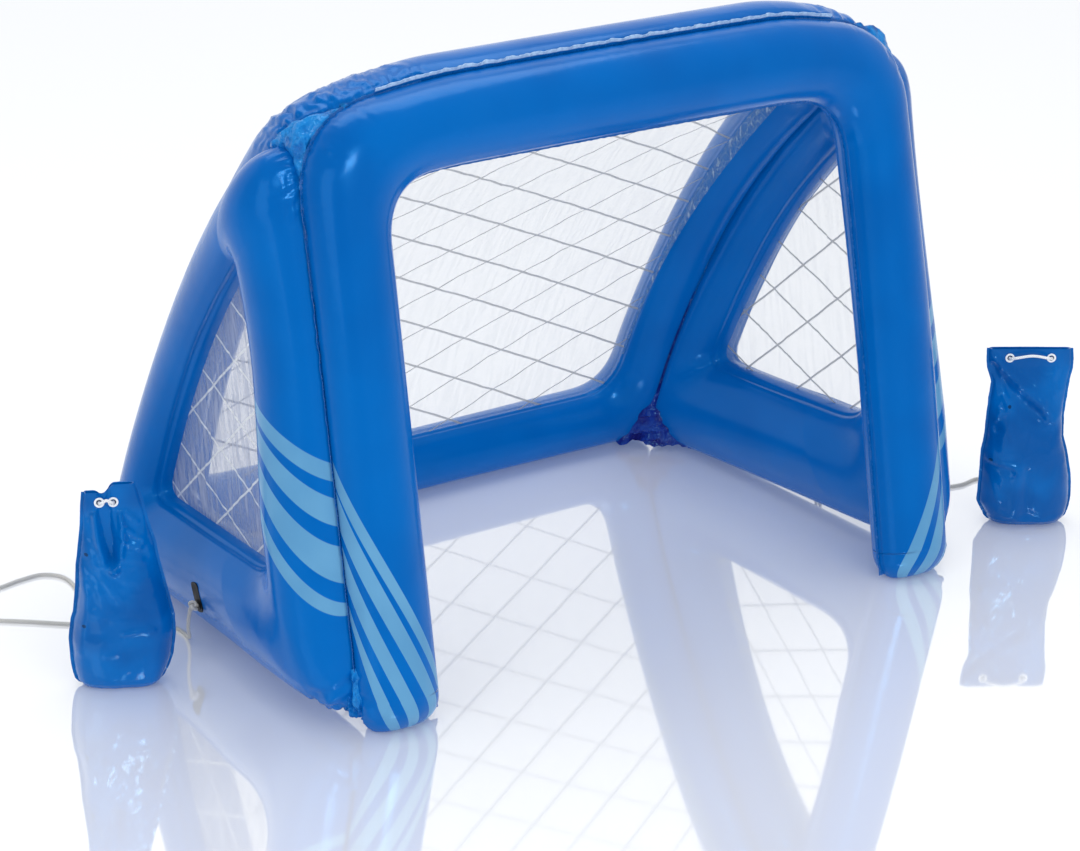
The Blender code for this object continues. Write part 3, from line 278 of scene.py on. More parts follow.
def closed(bm, name):
    """A mesh from a bmesh: doubles merged, faces outward, smooth."""
    bmesh.ops.remove_doubles(bm, verts=bm.verts, dist=0.000005)
    bmesh.ops.recalc_face_normals(bm, faces=bm.faces)
    mesh = bpy.data.meshes.new(name)
    bm.to_mesh(mesh)
    bm.free()
    mesh.shade_smooth()
    mesh.set_sharp_from_angle(angle=math.radians(40))
    return mesh


def piece(name, mesh, material, body=GOAL, replaces=()):
    """A finished piece at the origin, on its body, in place of its CAD nodes."""
    obj = bpy.data.objects.new(name, mesh)
    bpy.context.scene.collection.objects.link(obj)
    mesh.materials.clear()
    mesh.materials.append(material)
    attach(obj, body)
    if replaces:
        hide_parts(*replaces)
    return obj


def stopper_knot(bm, centre, axis, radius, size):
    """An overhand knot pulled tight about a cord's axis."""
    z = Vector(axis).normalized()
    x = z.orthogonal().normalized()
    y = z.cross(x)
    t = np.linspace(0, 2 * math.pi, 90, endpoint=False)
    flat = np.stack([np.sin(t) + 2 * np.sin(2 * t), np.cos(t) - 2 * np.cos(2 * t), -1.5 * np.sin(3 * t)], axis=1) * size
    line = np.array(centre) + flat @ np.array([x, y, z])
    sweep(bm, line, radius, 10, ring=True)


tether_braid = braided("tether_braid", rgb(212, 211, 206), rgb(150, 150, 148))
string_braid = braided("drawstring_braid", rgb(238, 240, 243), rgb(186, 190, 198))
for side, points in TETHERS.items():
    line = smooth_line(points, TETHER_STEP)
    line[:, 2] = np.maximum(line[:, 2], TETHER_DIAMETER / 2)
    bm = bmesh.new()
    sweep(bm, line, TETHER_DIAMETER / 2)
    tether = piece(f"{side}_tether_cord", closed(bm, "tether"), tether_braid, replaces=[f"{side}_tether"])

    # outside the eyelet: a stopper knot, with its short tail hanging
    out = (line[2] - line[0]) / np.linalg.norm(line[2] - line[0])
    bm = bmesh.new()
    stopper_knot(bm, line[0] + KNOT_OUT * out, out, KNOT_RADIUS, KNOT_SIZE)
    tail = [line[0] + TAIL_OUT * out, (0, 0.004, -0.006), (0, 0.006, -0.014), (0, 0.004, -0.012)]
    sweep(bm, smooth_line(np.cumsum(tail, axis=0), 0.002), TIGHT_RADIUS, 10)
    knot = piece(f"{side}_tether_knot", closed(bm, "knot"), tether_braid)

    # at the bag: turns of the tether round the drawstring
    ends = np.array(DRAWSTRINGS[side])
    along_string = (ends[0] - ends[-1]) * (1, 1, 0)
    along_string /= np.linalg.norm(along_string)
    across, up = np.cross(along_string, (0, 0, 1)), np.array([0, 0, 1.0])
    turns = np.linspace(0, HITCH_TURNS * 2 * math.pi, 70)[:, None]
    hitch = (np.array(points[-1]) + HITCH_RISE * up + along_string * (HITCH_PITCH * turns / (2 * math.pi) - HITCH_BACK)
             + HITCH_RADIUS * (np.cos(turns) * across + np.sin(turns) * up))
    bm = bmesh.new()
    sweep(bm, hitch, TIGHT_RADIUS, 10)
    hitch = piece(f"{side}_tether_hitch", closed(bm, "hitch"), tether_braid)

    string = smooth_line(DRAWSTRINGS[side], STRING_STEP)
    bm = bmesh.new()
    sweep(bm, string, STRING_DIAMETER / 2)
    drawstring = piece(f"{side}_drawstring_cord", closed(bm, "string"), string_braid, replaces=[f"{side}_drawstring"])


# Air chambers: four bladders of glossy blue vinyl, each of two sheets welded along their edges and blown up.
# The skins are skinned over oval sections that follow each bladder's two weld lines, pressed flat where they meet.
FRONT_WIDTH = 1.236
BACK_WIDTH = 1.153
HEIGHT = 0.969
DEPTH = 0.795
FRONT_LEAN = math.radians(10.0)
REAR_TOP_FALL = math.radians(40.0)
REAR_TOP_HANDLE = 0.640      # how far the rear curve keeps to its slope at the top, and to the upright at its foot
REAR_FOOT_HANDLE = 0.0485
ORIGIN_BACK = DEPTH / 2      # the model's origin lies in the middle of its depth
LEG_DROP = 0.025             # how far the legs reach below the side rings
TOP_ARCH = 0.006
LEFT_SAG = 0.0215
RIGHT_SAG = 0.0330
RIGHT_PULL = 0.0195
LEG_WIDTH = 0.1405
TOP_BAR_WIDTH = 0.1405
SIDE_FRONT_BAR_WIDTH = 0.1415
SIDE_REAR_BAR_WIDTH = 0.1170
SIDE_BOTTOM_BAR_WIDTH = 0.1890
BACK_SIDE_BAR_WIDTH = 0.1200
BACK_TOP_BAR_WIDTH = 0.1705
BACK_BOTTOM_BAR_WIDTH = 0.1200
# How far from a corner its rounding starts: on the weld lines, then at the mouth and the windows' holes
TOP_CORNER = 0.1455
REAR_TOP_CORNER = 0.1260
REAR_FOOT_CORNER = 0.1015
FRONT_FOOT_CORNER = 0.0680
MOUTH_CORNER = 0.0970
SIDE_HOLE_CORNERS = (0.0290, 0.0390, 0.1065)
BACK_HOLE_TOP_CORNER = 0.0870
BACK_HOLE_FOOT_CORNER = 0.0775
SIDE_WINDOW_OUT = 0.0165
WELD_INSET = 0.002
TOUCH = 0.0009              # half a weld's thickness and the gap beside it
FLOOR_PRESS = 0.002
STATION = 0.0037            # spacing of the sections along a bar
SECTION_POINTS = 96


def straight(start, end, count=400):
    """A straight edge in many short steps."""
    return np.linspace(np.asarray(start, float), np.asarray(end, float), count)


def offset_left(path, distance):
    """A path moved this far to its left."""
    ahead = np.gradient(path, axis=0)
    ahead /= np.linalg.norm(ahead, axis=1)[:, None]
    return path + distance * np.column_stack([-ahead[:, 1], ahead[:, 0]])


def meet(first, second):
    """Two edges, each cut off where they meet."""
    apart = np.linalg.norm(first[:, None] - second[None], axis=2)
    i, j = np.unravel_index(np.argmin(apart), apart.shape)
    corner = (first[i] + second[j]) / 2
    return np.vstack([first[:max(i, 1)], corner]), np.vstack([corner, second[min(j + 1, len(second) - 1):]])


def outline(edges, cuts, counts, corner_counts, closed=True):
    """Edge paths joined end to end, each corner rounded from its distances before and after it."""
    points = []
    last = len(edges) - 1
    for i, edge in enumerate(edges):
        start = cuts[i - 1][1] if closed or i > 0 else 0.0
        stop = lengths(edge)[-1] - (cuts[i][0] if closed or i < last else 0.0)
        points.append(along(edge, np.linspace(start, stop, counts[i])))
        if not closed and i == last:
            break
        a, k, b = points[-1][-1], edge[-1], along(edges[(i + 1) % len(edges)], [cuts[i][1]])[0]
        t = np.linspace(0, 1, corner_counts[i] + 2)[1:-1, None]
        points.append((1 - t) ** 2 * a + 2 * (1 - t) * t * k + t ** 2 * b)
    return np.vstack(points)


def rear_curve():
    """The rear weld curve in (Y, Z), from the top weld to the floor."""
    top = np.array([HEIGHT * math.tan(FRONT_LEAN), HEIGHT])
    foot = np.array([DEPTH, -FLOOR_PRESS])
    first = top + REAR_TOP_HANDLE * np.array([math.cos(REAR_TOP_FALL), -math.sin(REAR_TOP_FALL)])
    second = foot + np.array([0.0, REAR_FOOT_HANDLE])
    t = np.linspace(0, 1, 400)[:, None]
    return (1 - t) ** 3 * top + 3 * (1 - t) ** 2 * t * first + 3 * (1 - t) * t ** 2 * second + t ** 3 * foot


# The front plane's lean, how the sides narrow to the back, and half the angle between neighbours at their welds
LEAN_SIN, LEAN_COS = math.sin(FRONT_LEAN), math.cos(FRONT_LEAN)
FRONT_HEIGHT = HEIGHT / LEAN_COS
TOE_IN = (FRONT_WIDTH - BACK_WIDTH) / (2 * DEPTH * LEAN_COS)
STRETCH = math.hypot(1.0, TOE_IN)
CORNER_HALF = (math.pi / 2 - math.atan(TOE_IN)) / 2
TOP_HALF = math.acos(LEAN_COS * math.sin(REAR_TOP_FALL) - LEAN_SIN * math.cos(REAR_TOP_FALL)) / 2
TOP_WELD = np.array([0.0, HEIGHT * math.tan(FRONT_LEAN), HEIGHT])
TOP_ACROSS = np.array([0.0, math.cos(REAR_TOP_FALL) + LEAN_SIN, LEAN_COS - math.sin(REAR_TOP_FALL)])
TOP_ACROSS /= np.linalg.norm(TOP_ACROSS)
REAR = rear_curve()
REAR_RUN = lengths(REAR)
REAR_LENGTH = REAR_RUN[-1]


def rear_at(s):
    """The rear weld curve's Y and Z, this far down it."""
    return np.interp(s, REAR_RUN, REAR[:, 0]), np.interp(s, REAR_RUN, REAR[:, 1])


def weld_half_width(y, z):
    """How far the side weld lines are from the middle: the goal narrows to its back."""
    return FRONT_WIDTH / 2 - TOE_IN * (y * LEAN_COS - z * LEAN_SIN)


def press(distance, half_angle):
    """How far a chamber may swell towards its neighbour, this far from their weld line."""
    return distance * math.tan(half_angle) - TOUCH / math.cos(half_angle)


def ease(value, low, high):
    """From 0 at low to 1 at high, smoothly."""
    share = np.clip((value - low) / (high - low), 0.0, 1.0)
    return share * share * (3 - 2 * share)


def settle(points):
    """How the inflated goal stands: arched top, sunk top corners, tipped back until legs and rear rest."""
    x, y, z = np.moveaxis(np.asarray(points, float), -1, 0)
    corner = ease(np.abs(x), 0.25 * FRONT_WIDTH, 0.5 * FRONT_WIDTH)
    sag = np.where(x > 0, RIGHT_SAG, LEFT_SAG)
    rise = TOP_ARCH * (1 - (2 * x / FRONT_WIDTH) ** 2) - sag * corner
    x = x - np.where(x > 0, RIGHT_PULL * corner * ease(z, 0.3 * HEIGHT, HEIGHT), 0.0)
    z = z + rise * ease(z, 0.5 * HEIGHT, HEIGHT)
    tip = math.atan(LEG_DROP / DEPTH)
    back = y - DEPTH
    y = DEPTH + back * math.cos(tip) + z * math.sin(tip) - ORIGIN_BACK
    return np.stack([x, y, z * math.cos(tip) - back * math.sin(tip)], axis=-1)


def counts_for(edges, cuts, closed=True):
    """Stations for each edge and corner at the chosen spacing."""
    found, corners = [], []
    last = len(edges) - 1
    for i, edge in enumerate(edges):
        before = cuts[i - 1][1] if closed or i > 0 else 0.0
        after = cuts[i][0] if closed or i < last else 0.0
        found.append(max(int((lengths(edge)[-1] - before - after) / STATION), 4))
        if closed or i < last:
            corners.append(max(int(0.8 * sum(cuts[i]) / STATION), 6))
    return found, corners


class FrontPanel:
    """Flat coordinates: X across and h up the leaning plane. Out is forwards."""

    thickness, reference, fullest, lift, closed = 0.120, LEG_WIDTH, 1.15, 0.0, False
    second_weld = (0.005, 0.0010, 0.0022)

    def place(self, u, h, n):
        return np.stack([u, h * LEAN_SIN - n * LEAN_COS, h * LEAN_COS + n * LEAN_SIN], axis=-1)

    def room(self, u, h):
        side = press(FRONT_WIDTH / 2 - np.abs(u), CORNER_HALF)
        return np.minimum(side, press(FRONT_HEIGHT - h, TOP_HALF))

    def outlines(self):
        found = []
        counts = None
        for width, bar, cut in ((0.0, 0.0, TOP_CORNER), (LEG_WIDTH, TOP_BAR_WIDTH, MOUTH_CORNER)):
            x = FRONT_WIDTH / 2 - WELD_INSET - width
            top = FRONT_HEIGHT - WELD_INSET - bar
            foot = -LEG_DROP / LEAN_COS
            edges = [straight((-x, foot), (-x, top)), straight((-x, top), (x, top)), straight((x, top), (x, foot))]
            cuts = [(cut, cut), (cut, cut)]
            counts = counts or counts_for(edges, cuts, closed=False)
            found.append(outline(edges, cuts, *counts, closed=False))
        return found


class SidePanel:
    """Flat coordinates: d behind the front weld line and h along it. Out is away from the goal."""

    thickness, reference, fullest, lift, closed = 0.120, SIDE_FRONT_BAR_WIDTH, 1.3, SIDE_WINDOW_OUT, True
    second_weld = (0.026, 0.0042, 0.0042)

    def __init__(self, side):
        self.side = side
        self.back = np.array([-side * TOE_IN, LEAN_COS, -LEAN_SIN]) / STRETCH
        self.up = np.array([0.0, LEAN_SIN, LEAN_COS])
        self.out = np.array([side, TOE_IN * LEAN_COS, -TOE_IN * LEAN_SIN]) / STRETCH
        self.rear = self.flat(REAR)

    def flat(self, path):
        y, z = path[:, 0], path[:, 1]
        return np.column_stack([(y * LEAN_COS - z * LEAN_SIN) * STRETCH, y * LEAN_SIN + z * LEAN_COS])

    def place(self, d, h, n):
        origin = np.array([self.side * FRONT_WIDTH / 2, 0, 0])
        return origin + d[..., None] * self.back + h[..., None] * self.up + n[..., None] * self.out

    def room(self, d, h):
        starts, steps = self.rear[:-4:4], self.rear[4::4] - self.rear[:-4:4]
        points = np.stack([d, h], axis=-1).reshape(-1, 1, 2)
        share = np.clip(np.sum((points - starts) * steps, axis=2) / np.sum(steps ** 2, axis=1), 0, 1)
        near = np.linalg.norm(starts + share[..., None] * steps - points, axis=2).min(axis=1).reshape(d.shape)
        return np.minimum(press(d, CORNER_HALF), press(near, math.pi / 4))

    def outlines(self):
        found = []
        counts = None
        for front, rear, bottom, cuts in (
            (0.0, 0.0, 0.0, [(TOP_CORNER, REAR_TOP_CORNER), (REAR_FOOT_CORNER, REAR_FOOT_CORNER),
                             (FRONT_FOOT_CORNER, FRONT_FOOT_CORNER)]),
            (SIDE_FRONT_BAR_WIDTH, SIDE_REAR_BAR_WIDTH, SIDE_BOTTOM_BAR_WIDTH,
             [(cut, cut) for cut in SIDE_HOLE_CORNERS]),
        ):
            d0 = WELD_INSET + front
            level = self.flat(straight((-0.2, bottom - FLOOR_PRESS), (DEPTH + 0.2, bottom - FLOOR_PRESS)))[::-1]
            curve = offset_left(self.rear[::-1], WELD_INSET + rear)[::-1]
            up = straight((d0, -0.1), (d0, FRONT_HEIGHT + 0.1))
            up, curve = meet(up, curve)
            curve, level = meet(curve, level)
            level, up = meet(level, up)
            counts = counts or counts_for([up, curve, level], cuts)
            found.append(outline([up, curve, level], cuts, *counts))
        return found


class BackPanel:
    """Flat coordinates: X across and s down the rear curve. Out is backwards."""

    thickness, reference, fullest, lift, closed = 0.1105, BACK_SIDE_BAR_WIDTH, 1.22, 0.0, True
    second_weld = (0.006, 0.0014, 0.0024)

    def place(self, u, s, n):
        y, z = rear_at(s)
        y0, z0 = rear_at(np.maximum(s - 0.01, 0.0))
        y1, z1 = rear_at(np.minimum(s + 0.01, REAR_LENGTH))
        step = np.hypot(y1 - y0, z1 - z0)
        return np.stack([u, y + n * (z0 - z1) / step, z + n * (y1 - y0) / step], axis=-1)

    def room(self, u, s):
        y, z = rear_at(s)
        side = press(weld_half_width(y, z) - np.abs(u), math.pi / 4)
        flat = self.place(u, s, np.zeros_like(u))
        clear = (flat - TOP_WELD) @ TOP_ACROSS - TOUCH
        closing = (self.place(u, s, np.ones_like(u)) - flat) @ TOP_ACROSS
        return np.where(closing > 0.01, np.minimum(side, clear / np.maximum(closing, 0.01)), side)

    def outlines(self):
        found = []
        counts = None
        for side, top, bottom, side_cut, top_cut, foot_cut in (
            (0.0, 0.0, 0.0, REAR_TOP_CORNER, TOP_CORNER, REAR_FOOT_CORNER),
            (BACK_SIDE_BAR_WIDTH, BACK_TOP_BAR_WIDTH, BACK_BOTTOM_BAR_WIDTH,
             BACK_HOLE_TOP_CORNER, BACK_HOLE_TOP_CORNER, BACK_HOLE_FOOT_CORNER),
        ):
            run = np.linspace(WELD_INSET + top, REAR_LENGTH - bottom, 400)
            half = weld_half_width(*rear_at(run)) - WELD_INSET - side
            right = np.column_stack([half, run])
            left = np.column_stack([-half, run])[::-1]
            edges = [right, straight(right[-1], left[0]), left, straight(left[-1], right[0])]
            cuts = [(foot_cut, foot_cut), (foot_cut, foot_cut), (side_cut, top_cut), (top_cut, side_cut)]
            counts = counts or counts_for(edges, cuts)
            found.append(outline(edges, cuts, *counts))
        return found


def foot_stations(outer, inner):
    """The legs' rounded lower ends: finer stations there, with how full each is, from 0 to 1."""
    foot_corner, foot_crown = 0.0435, 0.063
    keep = slice(1, -1)
    heights = foot_crown * np.linspace(0.0, 0.82, 17)
    shift = foot_crown * 0.095
    run = outer[:, 1] - outer[0, 1]
    body = np.ones(len(outer), bool)
    body[keep] = run[keep] > heights[-1] + STATION
    body[0] = body[-1] = False
    from_end = heights + shift
    narrow = foot_corner - np.sqrt(foot_corner ** 2 - np.maximum(foot_corner - from_end, 0.0) ** 2)
    full = np.sqrt(1 - np.maximum(1 - from_end / foot_crown, 0.0) ** 2)
    level = outer[0, 1] + heights
    left_outer = np.column_stack([outer[0, 0] + narrow, level])
    left_inner = np.column_stack([inner[0, 0] - narrow, level])
    mirror = np.array([-1.0, 1.0])
    outer = np.vstack([left_outer, outer[body], (left_outer * mirror)[::-1]])
    inner = np.vstack([left_inner, inner[body], (left_inner * mirror)[::-1]])
    fullness = np.ones(len(outer))
    fullness[:len(full)], fullness[-len(full):] = full, full[::-1]
    return outer, inner, fullness


def crumple(points, seed, size, sharp=6):
    """Folded-sheet noise of about -1 to 1: flat facets between creases, some size metres across."""
    rng = np.random.default_rng(seed)
    total = np.zeros(points.shape[:-1])
    warp = np.zeros(points.shape)
    for _ in range(3):
        aim, to = rng.normal(size=points.shape[-1]), rng.normal(size=points.shape[-1])
        warp += to * np.sin(points @ (aim * 1.6 / size) + rng.uniform(0, 6.3))[..., None]
    bent = points + warp * size * 0.22
    for _ in range(sharp):
        aim = rng.normal(size=points.shape[-1])
        aim *= rng.uniform(0.6, 1.8) / np.linalg.norm(aim) / size
        phase = bent @ aim + rng.uniform(0, 1)
        total += (1 - 4 * np.abs(phase - np.floor(phase) - 0.5)) * 0.6 / np.linalg.norm(aim * size)
    return total / sharp ** 0.5


def creases(run, arc, seed, pitch, depth_at, reach, width):
    """Puckers square to a weld: sharp short valleys, at random steps along it, that die out away from it."""
    rng = np.random.default_rng(seed)
    dents = np.zeros(arc.shape)
    at = rng.uniform(0, pitch)
    while at < run[-1]:
        strength = np.interp(at, run, depth_at) * rng.uniform(0.35, 1.0)
        far = reach * rng.choice([0.5, 0.8, 1.0, 2.6], p=[0.35, 0.35, 0.22, 0.08])
        wide = width * rng.uniform(0.7, 1.3) * (1.3 if far > 2 * reach else 1.0)
        slant = rng.uniform(-0.35, 0.35)
        near = np.abs(run - at) < 6 * wide + 0.4 * far
        if strength > 2e-5 and near.any():
            off = run[near][:, None] - at - slant * arc[near]
            fade = np.exp(-(np.abs(arc[near]) / far) ** 1.6)
            shape = -np.exp(-(off / wide) ** 2)
            shape += 0.55 * (np.exp(-((off - 2 * wide) / wide / 1.3) ** 2)
                             + np.exp(-((off + 2 * wide) / wide / 1.3) ** 2))
            dents[near] += strength * fade * shape
        at += pitch * rng.uniform(0.55, 1.5)
    return dents


def skin_sections(panel, seed):
    """A bladder's sections at full detail, with each point's distance round the section and along the bar."""
    outer, inner = panel.outlines()
    fullness = np.ones(len(outer))
    if not panel.closed:
        outer, inner, fullness = foot_stations(outer, inner)
    middle, reach = (outer + inner) / 2, (outer - inner) / 2
    radius = np.linalg.norm(reach, axis=1)
    swell = np.minimum(np.sqrt(2 * radius / panel.reference), panel.fullest)
    half = panel.thickness / 2 * np.where(fullness < 1.0, 1.0, swell) * fullness
    even = 2 * math.pi * np.arange(SECTION_POINTS) / SECTION_POINTS
    angle = even - 0.3 * np.sin(2 * even)
    turn_step = (np.roll(angle, -1) - angle) % (2 * math.pi)
    cos, sin = np.cos(angle)[None], np.sin(angle)[None]
    ring_step = np.hypot(radius[:, None] * sin, half[:, None] * cos) * turn_step
    arc = np.cumsum(ring_step, axis=1) - ring_step
    perimeter = ring_step.sum(axis=1)[:, None]
    run_outer, run_inner, run = lengths(outer), lengths(inner), lengths(middle)
    turn = np.abs(np.gradient(np.unwrap(np.arctan2(*np.gradient(outer, axis=0).T[::-1]))))
    turn = np.convolve(turn, np.ones(25) / 25, mode="same") / STATION * 0.1
    bent = np.clip(turn, 0, 1)
    from_outer = np.where(arc < perimeter / 2, arc, perimeter - arc)
    from_inner = np.abs(arc - perimeter / 2)
    dent = creases(run_outer, from_outer, seed,
                   pitch=0.013, depth_at=0.0003 + 0.0022 * bent, reach=0.016, width=0.0030)
    dent += creases(run_inner, from_inner, seed + 1,
                    pitch=0.019, depth_at=0.0002 + 0.0006 * bent, reach=0.012, width=0.0032)
    where, deep, wide = panel.second_weld
    dent += deep * (0.45 * np.exp(-((from_inner - where - 1.9 * wide) / wide / 1.2) ** 2)
                    - np.exp(-((from_inner - where) / wide) ** 2))
    dent *= fullness[:, None] ** 2
    across = reach / radius[:, None]
    lean = np.stack([cos / radius[:, None], sin / half[:, None]], axis=-1)
    lean /= np.linalg.norm(lean, axis=-1)[..., None]
    u = middle[:, 0, None] + reach[:, 0, None] * cos + dent * lean[..., 0] * across[:, 0, None]
    v = middle[:, 1, None] + reach[:, 1, None] * cos + dent * lean[..., 0] * across[:, 1, None]
    n = half[:, None] * sin + panel.lift * (1 - cos) / 2 + dent * lean[..., 1]
    room = np.maximum(panel.room(u, v), 0.0)
    n = np.where(n < 0, -np.minimum(-n, room), n)
    return settle(panel.place(u, v, n)), arc, perimeter, run


def normals_of(rings):
    """Which way each point of a skin faces, outwards."""
    ahead = np.roll(rings, -1, 0) - np.roll(rings, 1, 0)
    round_it = np.roll(rings, -1, 1) - np.roll(rings, 1, 1)
    out = np.cross(round_it, ahead)
    out /= np.maximum(np.linalg.norm(out, axis=-1), 1e-12)[..., None]
    away = rings - rings.mean(axis=1, keepdims=True)
    return out * np.where(np.sum(out * away, axis=-1).mean() < 0, -1.0, 1.0)


def lattice(name, rings, closed_loop, across, height):
    """A skin over rings of points, with the distances round it and along it as its UV map."""
    count, points = rings.shape[:2]
    i, k = np.meshgrid(np.arange(count if closed_loop else count - 1), np.arange(points), indexing="ij")
    j, m = (i + 1) % count, (k + 1) % points
    quads = np.stack([i * points + k, i * points + m, j * points + m, j * points + k], axis=-1).reshape(-1, 4)
    mesh = bpy.data.meshes.new(name)
    mesh.from_pydata(rings.reshape(-1, 3).tolist(), [], quads.tolist())
    wrap = np.concatenate([across[0], across[1]], axis=1)
    rows = np.stack([i, i, j, j], axis=-1)
    around = wrap[rows, np.stack([k, k + 1, k + 1, k], axis=-1)]
    total = np.append(height, 2 * height[-1] - height[-2])
    uv = np.stack([around, total[np.stack([i, i, i + 1, i + 1], axis=-1)]], axis=-1)
    mesh.uv_layers.new(name="skin").uv.foreach_set("vector", uv.astype(np.float32).ravel())
    bm = bmesh.new()
    bm.from_mesh(mesh)
    if not closed_loop:
        bm.verts.ensure_lookup_table()
        bm.faces.new(bm.verts[:points])
        bm.faces.new(bm.verts[-points:])
    bmesh.ops.recalc_face_normals(bm, faces=bm.faces)
    bm.to_mesh(mesh)
    bm.free()
    mesh.shade_smooth()
    return mesh


BLUE = rgb(0, 86, 160)
DEEP_BLUE = rgb(0, 76, 148)
STRIPE_BLUE = rgb(98, 148, 178)
STRIPED_WIDTH = 0.203        # how far round a skin its stripes are printed
# Printed stripes on a chamber's skin: the slope and height of each one's upper and lower edge across the skin
LEFT_LEG_STRIPES = (
    (-1.917, 0.424, -1.926, 0.385), (-2.107, 0.379, -2.10, 0.318),
    (-2.36, 0.295, -2.35, 0.236), (-2.57, 0.204, -3.4, 0.181))
RIGHT_LEG_STRIPES = (
    (-1.787, 0.338, -1.80, 0.290), (-1.80, 0.256, -1.82, 0.196),
    (-1.85, 0.158, -1.90, 0.098), (-2.0, 0.062, -2.2, 0.045))
SIDE_STRIPES = (
    (0.340, 0.2678, 0.2657, 0.245), (0.3195, 0.2245, 0.2514, 0.190),
    (0.245, 0.1657, 0.1966, 0.120), (0.145, 0.0964, 0.0, 0.0805))


def vinyl(name, stripes=(), second=()):
    """Glossy blue vinyl: soft dents, fine grain and slightly uneven gloss, with printed stripes where given, and a
    faint painted glow.
    """
    # the emission is a painted glow: the skin gives off its own blue, so its shaded sides stay bright
    paint = Finish(name, IOR=1.5, Specular_IOR_Level=0.42, Specular_Tint=(0.08, 0.5, 1.0, 1.0), Coat_Weight=0.05,
                   Coat_Roughness=0.1, Emission_Color=(*BLUE[:3], 1.0), Emission_Strength=0.3)
    place = paint.add("TexCoord", out=3)
    cloudy = paint.noise(place, 5.0, 2.0)
    colour = paint.mix(paint.ramp(cloudy, 0.3, 0.7), BLUE, DEEP_BLUE)
    if stripes:
        across, height, _ = paint.split(paint.add("UVMap", uv_map="skin"))
        shown = None
        for shift, group in ((0.0, stripes), (1.0, second)):
            from_edge = paint.math("SUBTRACT", across, shift)
            face = paint.math("MULTIPLY", paint.math("GREATER_THAN", from_edge, -0.01),
                              paint.math("LESS_THAN", from_edge, STRIPED_WIDTH))
            for slope_high, high, slope_low, low in group:
                under = paint.math("SUBTRACT", paint.math("MULTIPLY_ADD", from_edge, slope_high, high), height)
                over = paint.math("SUBTRACT", height, paint.math("MULTIPLY_ADD", from_edge, slope_low, low))
                inside = paint.ramp(paint.math("MINIMUM", under, over), -0.0006, 0.0010)
                inside = paint.math("MULTIPLY", inside, face)
                shown = inside if shown is None else paint.math("MAXIMUM", shown, inside)
        ink = paint.mix(paint.ramp(paint.noise(place, 9.0, 2.0), 0.3, 0.7), STRIPE_BLUE, rgb(88, 138, 170))
        colour = paint.mix(shown, colour, ink)
    gloss = paint.ramp(paint.noise(place, 14.0, 4.0), 0.25, 0.75, 0.17, 0.27)
    soft = paint.bump(paint.noise(place, 22.0, 2.0), 0.0035, 0.25)
    grain = paint.bump(paint.noise(place, 900.0, 1.0), 0.00012, 0.35, soft)
    paint.set(paint.shader, {"Base Color": colour, "Roughness": gloss, "Normal": grain})
    return paint.material


CAP_HINGE = 0.0088           # a cap's hinge, from its valve's middle
CAP_HEIGHT = 0.0048          # a closed cap's underside, above the skin
VALVE_LAND = (0.0175, 0.0285)    # how far out the skin is flat, and where it is round again
VALVE_WELL = (0.004, 0.012)      # the well's floor and its mouth
VALVE_WELL_DEPTH = 0.016
VALVE_NEAR = 0.03            # skin further off than this is left alone


def valve_seat(name):
    """Where a valve is welded in: Z along its slide, X from its cap's hinge, the origin on the skin."""
    joints = {joint["name"]: joint for joint in frame["joints"]}
    slide, hinge = joints[f"{name}_valve_slide"], joints[f"{name}_cap_hinge"]
    z = Vector(slide["axis"]).normalized()
    y = -Vector(hinge["axis"]).normalized()
    x = y.cross(z)
    matrix = Matrix((x, y, z)).transposed().to_4x4()
    matrix.translation = Vector(hinge["pos_m"]) + CAP_HINGE * x - CAP_HEIGHT * z
    return matrix


def seated(rings, matrix):
    """Presses a flat land into the skin round a valve, with the well that its stem slides into."""
    turn, origin = np.array(matrix.to_3x3()), np.array(matrix.translation)
    local = (rings - origin) @ turn
    far = np.hypot(local[..., 0], local[..., 1])
    near = (far < VALVE_NEAR) & (np.abs(local[..., 2]) < VALVE_NEAR)
    flat = local[..., 2] * ease(far, *VALVE_LAND) - VALVE_WELL_DEPTH * (1 - ease(far, *VALVE_WELL))
    local[..., 2] = np.where(near, flat, local[..., 2])
    return local @ turn.T + origin


# Where the welds pull the skin into crumpled facets: place, reach, depth and facet size
CRUMPLES = {
    "back": (((-0.575, -0.140, 0.945), 0.140, 0.0085, 0.030), ((-0.45, -0.180, 0.985), 0.120, 0.0050, 0.026),
             ((0.50, -0.17, 0.95), 0.110, 0.0060, 0.040)),
    "left": (((-0.616, -0.175, 0.905), 0.070, 0.0030, 0.035), ((-0.622, -0.235, 0.850), 0.070, 0.0034, 0.017),
             ((-0.640, -0.370, 0.030), 0.110, 0.0085, 0.034)),
    "right": (((0.59, -0.175, 0.895), 0.085, 0.0045, 0.040), ((0.640, -0.370, 0.030), 0.080, 0.0045, 0.028)),
    "front": (((-0.585, -0.235, 0.915), 0.050, 0.0020, 0.030), ((0.57, -0.245, 0.90), 0.055, 0.0020, 0.030),
              ((-0.625, -0.410, 0.030), 0.055, 0.0034, 0.026), ((0.625, -0.410, 0.030), 0.055, 0.0034, 0.026)),
}


def crumpled(rings, zones, seed):
    """A skin pushed in and out by its crumpled zones."""
    out = normals_of(rings)
    for centre, reach, depth, size in zones:
        share = 1 - ease(np.linalg.norm(rings - np.array(centre), axis=-1), 0.25 * reach, reach)
        inward = crumple(rings, seed, size, 8)
        rings = rings - out * (depth * share * (0.55 + 0.9 * inward))[..., None]
    return rings


